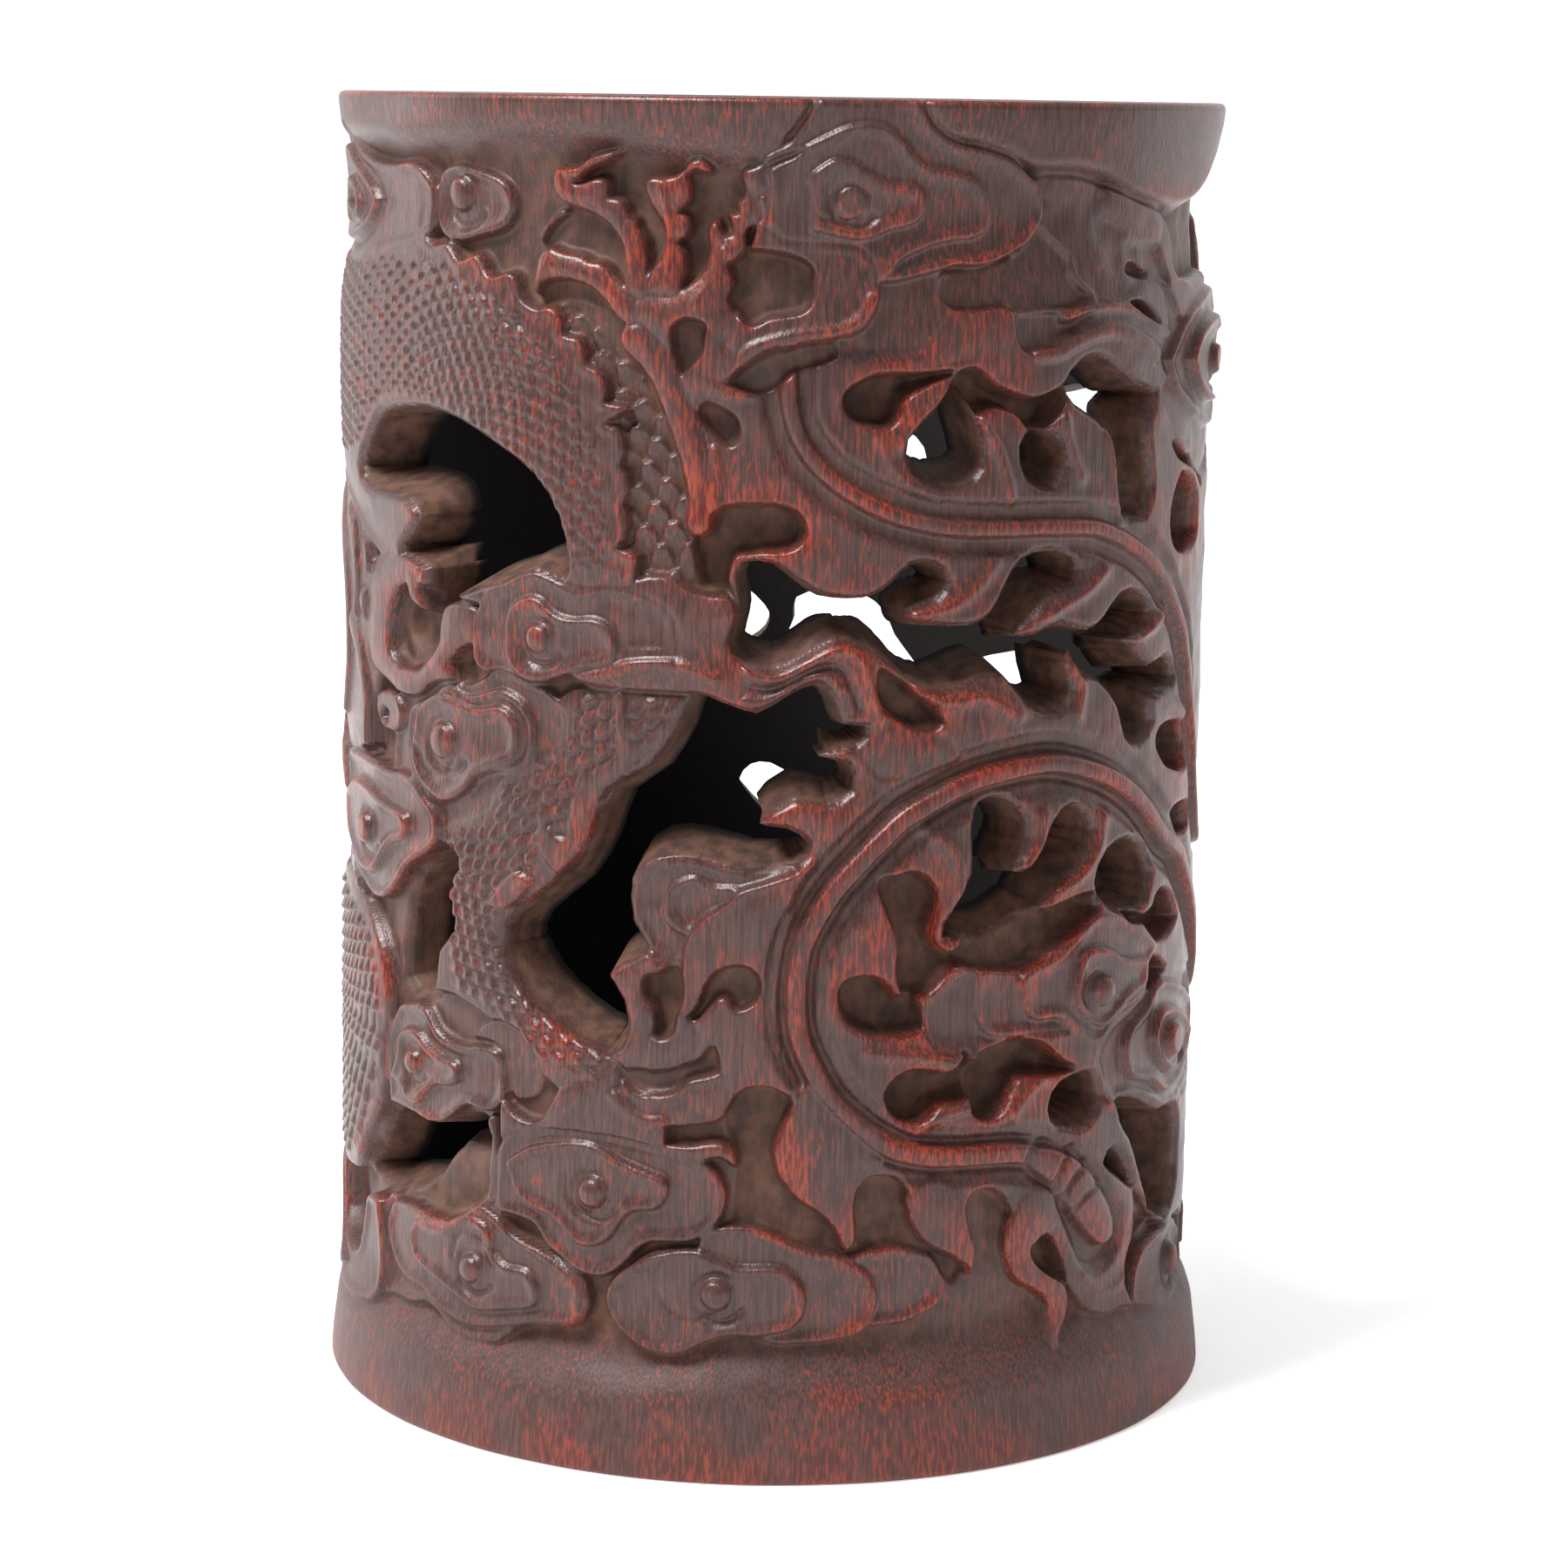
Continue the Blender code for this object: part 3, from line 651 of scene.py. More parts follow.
def dragon_body(relief, far_end, far_scales, far_spine):
    """The scaled body that arches over the crescent, its fin, and the belly scales beside it."""
    relief.lay([
        (-31, 128), (-26, 128.5), (-19.5, 126), (-17, 122), (-14.5, 119), (-12.5, 115), (-11, 110),
        (-9.6, 105), (-9.5, 101), (-12, 98), (-22, 98), (-24, 110), (-28, 122)], -2.3, edge=0.8)
    relief.scales([
        (-30, 128), (-26, 128), (-20.5, 124), (-17, 121.5), (-14.5, 118.5), (-12.5, 114.5), (-11.2, 110),
        (-10, 105), (-9.8, 101), (-12, 98.5), (-20, 98.5), (-22, 110), (-26, 120)], [
        (-14, 94), (-14.5, 104), (-16.5, 112), (-20, 119), (-26, 126)], (2.3, 3.3), 1.6)
    fin = [
        (-92, 135), (-85, 135.5), (-76, 133), (-70, 133.5), (-67, 134.4), (-64, 133), (-60, 135.3),
        (-56, 134), (-53, 135.3), (-49.5, 133.8), (-46.5, 134), (-44, 132.3), (-41, 133), (-38.5, 130.8),
        (-35, 131.2), (-33.2, 128.6), (-31, 127.6), (-29, 127.8), (-27.3, 126.5), (-27, 125), (-25, 124.6),
        (-24, 123.5), (-23.8, 122), (-22, 121.2), (-21, 119.8), (-21.2, 118), (-17.5, 117.5), (-21, 115.7),
        (-19.3, 115), (-18.6, 113), (-19, 111.3), (-18.3, 110.3), (-18, 109), (-18.6, 107.2),
        (-18.1, 105.3), (-18.6, 103.3), (-19.3, 102.6), (-16.8, 101.8), (-18, 98), (-27, 97), (-40, 95),
        (-60, 98), (-75, 103), (-90, 106)]
    relief.lay(fin + far_end, -1.0, edge=0.5, lip=0.35, dome=0.9, reach=4)
    spine = far_spine + [
        (-85, 121), (-72, 124), (-60, 125.5), (-50, 125.5), (-42, 123), (-34.5, 118.5), (-28.5, 112),
        (-25, 105), (-23.5, 98)]
    relief.scales(far_scales + [
        (-92, 132.5), (-72, 131.5), (-60, 132.5), (-46, 131.6), (-36, 128.4), (-30, 124.6), (-25.5, 120.5),
        (-23.6, 116.5), (-21.5, 112), (-20.6, 107), (-20.6, 100.5), (-26, 99), (-28.6, 106.5), (-33, 110.5),
        (-40, 114), (-48, 116.5), (-60, 116.2), (-70, 110), (-90, 108)], spine, (1.6, 1.85), 0.7)


# How the body ends away from the claw: turned down round the left side, or short, under another body.
TURNED_END = (
    [(-98, 104.5), (-102, 100), (-103, 93), (-104, 85), (-112, 83), (-118, 92), (-121, 104), (-120, 115),
     (-115, 124), (-107, 131)],
    [(-99, 103), (-104, 98), (-105, 86), (-112, 85), (-116.5, 93), (-119, 104), (-118, 114), (-113.5, 122.5),
     (-105, 129)],
    [(-108.5, 84), (-111, 96), (-111, 106), (-106, 114.5), (-97, 119.5)])
SHORT_END = (
    [(-100, 112), (-104, 120), (-100, 129)],
    [(-99, 113), (-102, 120), (-99, 128)],
    [(-104, 117), (-97, 118)])


def claw(relief):
    """The clawed foot under the rim: four toes and a palm, with talons."""
    relief.lay([
        (-31.8, 129.3), (-31.4, 132.2), (-31, 133.4), (-29.4, 134.1), (-27.9, 133.7), (-24.8, 133.3),
        (-23.6, 132.8), (-21.9, 132.6), (-19.9, 131.1), (-17.3, 129.3), (-15.6, 127), (-17.8, 126.1),
        (-19.5, 126.5), (-22.1, 129), (-23.9, 130), (-26.3, 130.5), (-28.8, 130.5), (-30.5, 130),
        (-31, 128.7)], -0.7, edge=0.5, dome=0.7, reach=1.2)
    relief.lay([
        (-31.5, 134.2), (-32, 135), (-31.1, 136.2), (-29.9, 137.2), (-28.2, 138), (-27.5, 137.5),
        (-29.3, 136.6), (-30.6, 135.5)], -1.5, edge=0.5)
    relief.lay([
        (-29, 141.3), (-28.9, 139.7), (-27.6, 138.6), (-23.7, 137.6), (-21.6, 136.6), (-20.2, 135.3),
        (-19.3, 133.9), (-18.9, 131.1), (-18.4, 129.4), (-15.4, 128.6), (-16.1, 133.5), (-16.4, 135.1),
        (-17.4, 136.5), (-17.7, 137.2), (-18.6, 137.6), (-18.9, 138.3), (-19.4, 139.2), (-21.2, 139.5),
        (-21.4, 141), (-22.6, 141.5), (-25.5, 140.9), (-26.4, 141.5), (-27.4, 142.3), (-28.6, 142.4)],
        -0.6, edge=0.5, dome=0.7, reach=1.2)
    relief.lay([
        (-27.6, 142.3), (-24.9, 142.6), (-24, 143.3), (-22, 143.9), (-19.3, 144.3), (-20.8, 143.3),
        (-22.8, 142.6), (-24.3, 141.9), (-25, 141.2), (-26.7, 141.3)], 0.0, edge=0.45)
    relief.lay([
        (-16.5, 129.3), (-15.8, 131.7), (-14.4, 133.6), (-14, 134.9), (-14.3, 136.3), (-16.3, 139.3),
        (-16.6, 140.9), (-15.9, 141.6), (-13.6, 141.7), (-12.2, 142.1), (-11.4, 142.8), (-10.6, 143.4),
        (-9.3, 143.5), (-8.1, 142.6), (-8.6, 142), (-10.2, 142.3), (-11.1, 141.9), (-10.7, 139.6),
        (-11.6, 138.4), (-12.4, 138.1), (-11.1, 137.7), (-10.7, 136.6), (-11.1, 135.5), (-12.3, 134.9),
        (-11.3, 133.9), (-11.2, 132.5), (-11.4, 131.1), (-11.8, 129)], -0.5, edge=0.5, dome=0.6, reach=1.2)
    relief.rib([(-14.3, 141), (-13.5, 137), (-13.4, 132)], (0.8, 0.8), 0.35)
    relief.lay([
        (-12.9, 129.4), (-11, 130.5), (-9.7, 131.5), (-8.9, 132.5), (-8.5, 134.1), (-8.7, 136),
        (-8.2, 137.1), (-7.4, 137.4), (-6.6, 135.8), (-5.7, 135.9), (-5.8, 136.9), (-6.3, 137.9),
        (-5, 138.1), (-5.1, 139.2), (-4.2, 139.9), (-4.5, 141.5), (-4.3, 142.5), (-3, 142.9), (-1.4, 143.5),
        (0.1, 144.1), (3, 144.8), (1.7, 143.8), (-0.4, 143), (-1.2, 142.3), (-1, 141.1), (-1.4, 140.2),
        (-2.5, 139.5), (-1.9, 138.4), (-2.1, 137.2), (-3.8, 136.1), (-3.8, 134.7), (-4.7, 133.3),
        (-6, 132.7), (-5.2, 130.7), (-5.9, 129.1), (-4.6, 126.4), (-5.9, 124.5), (-5, 123.6), (-5, 122.4),
        (-6.3, 120.5), (-4.5, 119.8), (-2.1, 119.1), (-3.9, 118.5), (-5.5, 118.3), (-7.4, 118.8),
        (-9.8, 117.9), (-11.1, 119), (-12, 121.8), (-13.6, 124.1), (-16.1, 125.9), (-17.3, 127.5),
        (-16.2, 129.4)], -0.5, edge=0.5, dome=0.6, reach=1.2)
    relief.rib([(-6.5, 134), (-8, 131), (-10, 128.4)], (1.2, 1.4), 0.3)
    relief.lay([
        (-12.6, 126), (-11.2, 126.9), (-9.9, 126.8), (-8.7, 126.3), (-8.8, 124.9), (-9, 123.5),
        (-11.4, 121.1), (-12, 122.3), (-12.7, 124.6)], -2.3, edge=0.5)
    relief.pocket([
        (-9.4, 117.2), (-8.4, 118), (-6.3, 117.5), (-4.9, 116.6), (-4.4, 115.2), (-4.9, 114), (-6, 113.8),
        (-7.3, 114.7), (-8.6, 116)], -3.0, 0.6)


def foreleg_band(relief):
    """The long foreleg down from the palm."""
    relief.strap([
        (-17.1, 124.7), (-15.1, 123), (-13.3, 120.6), (-12, 117.8), (-10.8, 114.8), (-9.6, 111.4),
        (-9, 108), (-9.2, 105.4)], (4.2, 3.0), -0.1, dome=0.9)
    relief.strap([(-7.4, 113.2), (-7.1, 110.4), (-7.4, 107.5)], (1.4, 2.0), -0.3)


def thigh(relief):
    """The thigh the foreleg joins, and the scaled belly below it."""
    relief.lay([
        (-28, 99), (-20.5, 98.3), (-18, 99), (-16, 99.5), (-14, 99.8), (-12, 99.2), (-10, 98.3), (-8, 97.9),
        (-6, 97.8), (-4.8, 97), (-4.2, 95.8), (-4.9, 94), (-5.2, 92.6), (-3, 88), (-5.5, 86), (-9, 87),
        (-16, 87.2), (-23, 87.3), (-30, 90)], -0.9, edge=0.6, dome=0.5)
    relief.rib([(-24, 88.4), (-20, 89), (-16, 90.4), (-11, 90.2), (-7, 88.9)], (2.2, 1.8), 0.7)
    relief.rib([(-12.2, 95), (-11.6, 93), (-11.7, 90.5)], (1.0, 0.8), -0.35)
    relief.lay([
        (-26, 86.9), (-16, 87), (-9, 87), (-11, 83.5), (-15, 78.5), (-19, 76), (-24, 71), (-30, 63.5),
        (-37, 58), (-46, 62), (-47, 70), (-38, 75), (-30, 83)], -1.7, edge=0.7, dome=0.4)
    relief.scales([
        (-25, 87), (-11, 86.5), (-16, 79), (-22, 74), (-25, 74), (-31, 66), (-37, 60), (-45, 62), (-46, 69),
        (-36, 76), (-27, 82)], [(-14, 88), (-22, 76), (-34, 64), (-44, 57)], (2.0, 2.1), 1.1)
    relief.strap([
        (-19.2, 86.5), (-18.6, 82.5), (-18.8, 79.5), (-22.5, 76.5), (-24.2, 74), (-24.6, 70.5)],
        (1.5, 3.2), -0.9)
    relief.lay([
        (-30, 74.6), (-29.2, 71.7), (-27, 70.4), (-25, 71), (-24, 74), (-22.6, 73), (-24, 69),
        (-27.5, 66.3), (-30.4, 69.4)], -0.9, edge=0.6)


def foreleg(relief):
    """The scaled leg and mane that run down to the jaw, left of the big hole."""
    relief.lay([
        (-47.5, 66), (-36, 62), (-36, 57), (-33, 53), (-27, 49.2), (-20.5, 47), (-18.5, 45.6), (-19.5, 42),
        (-24, 41), (-30, 43.5), (-38, 48.6), (-45, 50.6), (-49, 50.5), (-48.8, 53.5), (-48.2, 56),
        (-45.2, 58.3), (-46, 62)], -1.3, edge=0.6, dome=0.5)
    relief.scales([
        (-46, 66), (-37, 62), (-36, 57), (-32, 52.5), (-26, 49), (-20, 46.5), (-21, 43.5), (-29, 45),
        (-38, 50), (-45, 52)], [(-47, 60), (-40, 54.5), (-31, 49.3), (-19, 45.3)], (1.8, 1.9), 1.0)
    relief.lay([(-37, 63.5), (-34, 66), (-31, 65.2), (-35.5, 61.8), (-38.5, 62)], -0.6, edge=0.6)


def jaw(relief):
    """The phoenix's hooked beak, wattles and scalloped collar, under the big hole."""
    relief.lay([
        (-36, 36), (-35, 34.8), (-33, 34.5), (-31.5, 35.4), (-30, 34.6), (-28, 34.6), (-26.5, 35.3),
        (-25.4, 36.7), (-23.6, 36.3), (-21.8, 36.2), (-20.2, 37.1), (-18.5, 36.9), (-16.4, 35.6),
        (-14.5, 35.7), (-13, 36.3), (-12.5, 40), (-18, 42), (-19, 46), (-22, 44), (-27, 42.5), (-30, 38.6),
        (-33.5, 38.8), (-36, 40.5)], -0.7, edge=0.5, dome=0.4)
    relief.strap([
        (-12.4, 36.3), (-9, 36.6), (-5.8, 37.2), (-4, 36.3), (-2, 34.6), (-1, 32.8)], (2.6, 0.7), -0.6)
    relief.strap([(-19.3, 42.4), (-17.5, 41), (-15, 40), (-13, 40.1)], (1.6, 1.6), -0.1)


def flank(relief):
    """The scaled flank of the first dragon, at the left edge of the photograph."""
    relief.lay([
        (-96, 99), (-90, 106), (-84, 107), (-72, 106), (-66, 103), (-64, 98), (-62, 90), (-64, 83),
        (-70, 76), (-80, 74), (-88, 76), (-93, 83), (-97, 91)], -1.2, edge=0.7, dome=0.6)
    relief.lay([
        (-92, 55), (-86, 61), (-76, 60.5), (-66, 57), (-60.5, 52), (-59, 44), (-62, 36), (-69, 30),
        (-73, 26), (-80, 22), (-88, 24), (-93, 33), (-94.5, 44)], -1.0, edge=0.7, dome=0.9)
    relief.scales([
        (-90, 54), (-85, 59), (-76, 58), (-66, 55.5), (-61.5, 50), (-61, 42), (-64, 36), (-71, 29),
        (-80, 25), (-87, 27), (-91, 34), (-92.5, 44)], [
        (-80, 66), (-77, 54), (-76, 42), (-82, 24)], (2.0, 2.1), 0.95)
    locks = [
        [(-92, 104), (-84, 101), (-78, 95), (-76, 86), (-80, 79)],
        [(-84, 108), (-77, 105), (-72, 100), (-70.5, 94), (-72, 87)],
        [(-75, 108.5), (-70.5, 105), (-67, 100.5), (-64.5, 96)],
        [(-73, 90), (-69, 87), (-66.5, 82), (-66, 77)],
        [(-67, 93), (-64.5, 90), (-62.5, 86)],
    ]
    for line in locks:
        relief.strap(line, (3.6, 1.6), 0.0, dome=0.9)


def clouds_left(relief):
    """Clouds over the left flank, from the one under the rim to the one at the foot."""
    for name in ("rim_left", "rim_small", "shoulder", "flank", "side", "hollow"):
        cloud(relief, *CLOUDS[name])
    relief.lay([
        (-36, 49), (-32, 47), (-30, 43.6), (-31, 41), (-34.5, 40), (-36, 42), (-37, 45.6), (-42, 46.2),
        (-40, 48)], -2.0, edge=0.5)


def hock(relief):
    """The small hooked ridges and pits at the far left, beside the crescent."""
    relief.lay([
        (-64, 98), (-60, 99.3), (-55, 99.4), (-50, 98.6), (-51.5, 96), (-49.8, 93.2), (-53, 94),
        (-54.5, 96), (-57, 95), (-59, 91.5), (-58.5, 88), (-53, 86.5), (-50, 88), (-47.5, 90.2),
        (-47.2, 92.4), (-46, 94.6), (-42, 95), (-40, 94.3), (-40, 90.8), (-41.5, 90.4), (-43, 89.8),
        (-45.2, 88.2), (-44, 86.3), (-48, 85.8), (-53, 83.6), (-60, 84.5), (-66, 87), (-66, 93)],
        -0.7, edge=0.6, dome=0.5)
    relief.pocket([
        (-54.3, 94), (-50, 92.7), (-48.2, 91.5), (-49.6, 89.2), (-53, 88.4), (-57, 90), (-57, 92.5)], -4.4)
    relief.pocket([(-44.8, 88), (-43.5, 89.6), (-42, 88.9), (-43, 87.9)], -3.6, 0.6)
    relief.lay([(-64, 81), (-63, 83), (-58, 83.4), (-55.8, 81.8), (-56.6, 79.6), (-61, 79)], -0.7, edge=0.5)
    relief.pocket([(-62, 80.3), (-61, 81.5), (-59.5, 81), (-60, 79.6)], -2.6, 0.5)


def clouds_foot_left(relief):
    """The spread-out clouds at the foot, left of centre."""
    cloud(relief, *CLOUDS["foot_left"])
    relief.pocket([
        (-36.3, 26.9), (-33, 26.8), (-31, 25.8), (-29.7, 24.2), (-32, 24.4), (-34.5, 25.2)], -3.4, 0.5)
    relief.lay([
        (-66, 23.6), (-67.5, 19.5), (-71, 15.8), (-78, 15.2), (-83, 18), (-85, 24), (-92, 26.5), (-99, 21),
        (-98, 14), (-90, 10), (-80, 9.6), (-70, 10.2), (-62, 12.2), (-60.6, 18), (-62, 23.8)],
        -0.4, edge=0.6, lip=0.35)
    relief.lay([
        (-84, 24.4), (-82.6, 18), (-78, 15.6), (-71.4, 16.2), (-67.8, 19.8), (-66.2, 24.4)], -3.0, edge=0.6)
    cloud(relief, [(0.0, [
        (-97.5, 20.6), (-97, 15), (-92, 11.6), (-86, 12), (-82, 11.2), (-78, 12.6), (-82, 14.6),
        (-85.4, 17.6), (-87.6, 22.6), (-92, 24.4)])], (-91.6, 17.6, 1.7, 0.1))
    relief.strap([(-38, 37.4), (-37.4, 33), (-37.9, 29)], (1.3, 2.2), -1.2)
    relief.lay([
        (-51, 28.5), (-49, 30.6), (-46.5, 33), (-43, 33.4), (-39, 33), (-38.6, 29.5), (-40.5, 27.6),
        (-44.5, 25.6), (-49, 25), (-53, 26.6)], -3.2, edge=0.8)


def clouds_foot_middle(relief):
    """The two clouds at the foot in the middle."""
    cloud(relief, *CLOUDS["foot_upper"])
    cloud(relief, *CLOUDS["foot_middle"])


def cloud_top(relief):
    """The large cloud at the middle of the rim."""
    left_edge = [(1.2, 145.5), (2.5, 147), (3.5, 148.3)]
    right_edge = [
        (17, 149.2), (18, 147.7), (20, 146.2), (22, 145.5), (25, 145), (28, 144.3), (30, 143.5),
        (32, 142.3), (33.5, 141.3)]
    relief.rib(left_edge + [(5, 150.4)], (1.8, 1.8), -0.9)
    relief.rib([(16.3, 150.4)] + right_edge + [(34.6, 139.5)], (1.8, 1.8), -0.8)
    relief.lay(left_edge + [
        (5, 150.2), (9, 152), (15.8, 150.4)] + right_edge + [
        (34.3, 139.5), (34.3, 137.8), (33.3, 136.3), (31.5, 134.8), (28, 133.3), (25, 132.7), (22, 132.7),
        (20, 132.3), (12, 131), (-3, 134), (-2, 143)], -0.3, edge=0.5, lip=0.4)
    relief.lay([
        (-2, 143.7), (0, 144.5), (2, 144.8), (5, 146), (8, 147.2), (11, 147.5), (13, 147), (15, 145.5),
        (17, 143.7), (19, 142.9), (21, 142.7), (24, 141.9), (25.5, 140.8), (26.3, 139), (26.3, 137.3),
        (25, 135.9), (22, 135.5), (19, 135), (17, 134.3), (15, 133.5), (12.8, 131.6), (9, 130), (-2, 134),
        (-1.5, 136.8), (-1, 140)], 0.15, edge=0.5, lip=0.3)
    cloud(relief, [(0.7, [
        (3.6, 140.4), (3.8, 142), (5, 143), (6.5, 143.7), (9, 143.3), (10.5, 142.5), (12, 141.7),
        (14, 141.3), (16, 141.3), (17.3, 140.5), (17.7, 139), (17, 137.7), (15.5, 137), (13, 136.5),
        (11.5, 135.8), (9, 135.6), (4, 136.4)])], (8.7, 139.4, 1.45, 1.1), [
        (3.5, 141), (3.8, 139), (4.8, 137.8), (6.5, 137.3), (8.5, 137.3), (10.2, 138)])


def ribbon(relief):
    """The broad ribbon to the right of the top cloud."""
    relief.lay([
        (14.5, 127), (14.6, 124.5), (15.2, 123), (16.5, 121.8), (20, 122.1), (23, 122.5), (25, 122.2),
        (27, 120.8), (29, 119.8), (31, 119.2), (33, 118.7), (36, 119), (38.5, 120), (39.5, 121.3),
        (41, 122.6), (46, 123), (48.5, 121.8), (50, 120.8), (52, 119.8), (57, 118.7), (66, 117), (80, 113),
        (80, 131), (64, 131), (62, 136), (58.7, 138.3), (52, 139.6), (45.5, 141), (40, 142), (33, 142),
        (30, 131), (24, 131.5), (19, 132.5), (14, 132.5), (12.5, 129.5)], -0.9, edge=0.6, dome=0.2)
    relief.lay([(8, 123.5), (17, 123.5), (20, 127), (19, 132.5), (13, 135), (9, 134)], -1.3, edge=1.5)
    relief.lay([
        (33.8, 142.4), (44.4, 141.4), (45.2, 140), (45.6, 138.3), (49, 137), (50, 135), (57, 134.6),
        (60, 131), (60, 130.3), (54, 130.6), (50, 129.4), (44, 128.8), (39, 130.8), (34, 130), (33.2, 136),
        (35, 139)], -1.4, edge=1.5)
    relief.lay([
        (46, 141), (50, 140), (54, 139), (57, 138), (59, 136.8), (58.7, 135.5), (57, 134.8), (52, 135.6),
        (48, 137.2), (45.6, 138.6)], -0.7, edge=0.6, dome=0.4)
    fold = [(38, 134.8), (39.5, 133.3), (40, 131.5), (41, 130.5), (43, 129.3)]
    relief.rib([(36, 135.5)] + fold, (0.9, 0.9), 0.4)
    under_fold = [(20.3, 130.6), (21.5, 132), (26, 132.6), (30, 133.5), (33, 135), (34.5, 137), (36, 136)]
    relief.lay(under_fold + fold + [
        (40, 128.4), (36, 128.2), (30.3, 127.9), (29, 128.4), (23, 128.1), (21, 128.8)], -2.0, edge=0.6)
    relief.lay([
        (30.5, 127.7), (34, 127.9), (37, 127.7), (39, 126.6), (42, 127.5), (40, 126), (38, 125.2),
        (34, 123.6), (32, 123.8), (31, 125)], -1.8, edge=1.2)
    relief.strap([
        (34, 123.2), (37, 123.4), (40, 124.5), (43, 125.4), (46, 125.7), (49, 125.4), (52, 124.4),
        (56, 122.8)], (1.6, 2.4), -0.2, dome=0.5)
    relief.strap([
        (38, 127.2), (41, 127.9), (45, 128.2), (48, 128.1), (51, 127.6), (54, 126.6), (57, 125.3),
        (60, 124.6)], (1.0, 1.2), -0.3, dome=0.4)
    relief.pocket([(50, 128.5), (52, 128.6), (54, 128), (57, 126.1), (54, 126.9), (51.5, 127.8)], -3.4, 0.5)
    relief.pocket([
        (50.3, 131.8), (51, 132.5), (52.5, 132.6), (54, 132), (55.7, 131.4), (53, 131.2)], -3.4, 0.5)


def loop(relief):
    """The loop of ribbon beside the claw."""
    relief.lay([
        (-6.2, 119.9), (-5.4, 120.8), (-3.8, 121.9), (-1.7, 122.9), (2.7, 124.3), (7, 124.8), (7, 123.2),
        (2, 121.6), (0, 120), (-2.5, 119.2)], -2.0, edge=0.6)
    relief.lay([
        (-4, 133.6), (-2.6, 136.2), (-1.5, 136.8), (0, 136), (0.5, 135.5), (3, 135.3), (6, 135.2), (9, 135),
        (10.5, 134.3), (11.7, 133), (12.3, 131), (12.2, 129), (11.5, 127.5), (10.5, 126.3), (9, 125.5),
        (6, 124.9), (3, 124.5), (0, 124), (-2, 123.3), (-4, 122), (-7, 120.6), (-7, 124), (-5, 127),
        (-6, 132)], -0.35, edge=0.6, lip=0.3, dome=0.3)
    relief.lay([
        (-5.4, 129), (-4.3, 127.3), (-3, 126.5), (-1, 127.3), (1, 127.6), (3, 128), (4, 129), (4.3, 130.5),
        (4.2, 132), (3.3, 133), (1, 133.7), (-1, 134), (-4, 134), (-6.3, 132.5)], -2.6, edge=0.6)
    relief.rib([
        (-6, 121.3), (-4.7, 122.7), (-3, 124.1), (0.5, 125.2), (3.9, 125.8), (7.5, 126.2), (10, 127.4),
        (11.2, 129.4)], (1.6, 1.6), 0.5)


def feather_ground(relief):
    """The broad mass of feathers on the right, before its ribs and hollows are cut."""
    relief.lay([
        (-12, 125), (20, 125), (40, 124), (60, 124), (80, 125), (92, 120), (85, 113), (90, 107), (102, 102),
        (106, 94), (97, 91), (89, 86), (92, 79), (103, 76), (108, 70), (99, 67), (91, 63), (89, 55),
        (95, 49), (105, 47), (106, 41), (97, 39), (88, 36), (86, 29), (92, 24), (98, 17), (88, 17),
        (78, 20), (68, 21), (62, 24.6), (58, 27), (58.3, 25), (57.8, 22), (56.4, 18.8), (56, 17), (59, 13),
        (55, 13.7), (52, 13.6), (49.5, 14), (47, 15), (45, 16.8), (43.3, 18.7), (42.8, 20), (41.3, 22.8),
        (40.3, 24.3), (39, 24.8), (37, 24), (36, 26), (33.4, 28.6), (32.3, 30), (31.5, 30.6), (30, 31.4),
        (28, 31.4), (26.6, 30.6), (18.4, 32), (17, 33.5), (15.5, 33.9), (13.5, 33.9), (12, 33), (11.5, 32),
        (2, 33.8), (1.1, 36), (1.1, 37), (1.5, 39), (3, 42.5), (2, 43.6), (0, 44.3), (-2.5, 44), (-3.8, 43),
        (-5, 41), (-7, 40), (-12, 40.5), (-14.5, 42.6), (-17.5, 44.6), (-19, 47), (-19.6, 54.8),
        (-20.7, 55.5), (-20, 57), (-17.8, 61.5), (-18.2, 66), (-15, 69.5), (0, 69), (-3, 73), (-2, 90),
        (-6, 100), (-10, 110)], FEATHER_LEVEL, edge=0.6, dome=0.3)


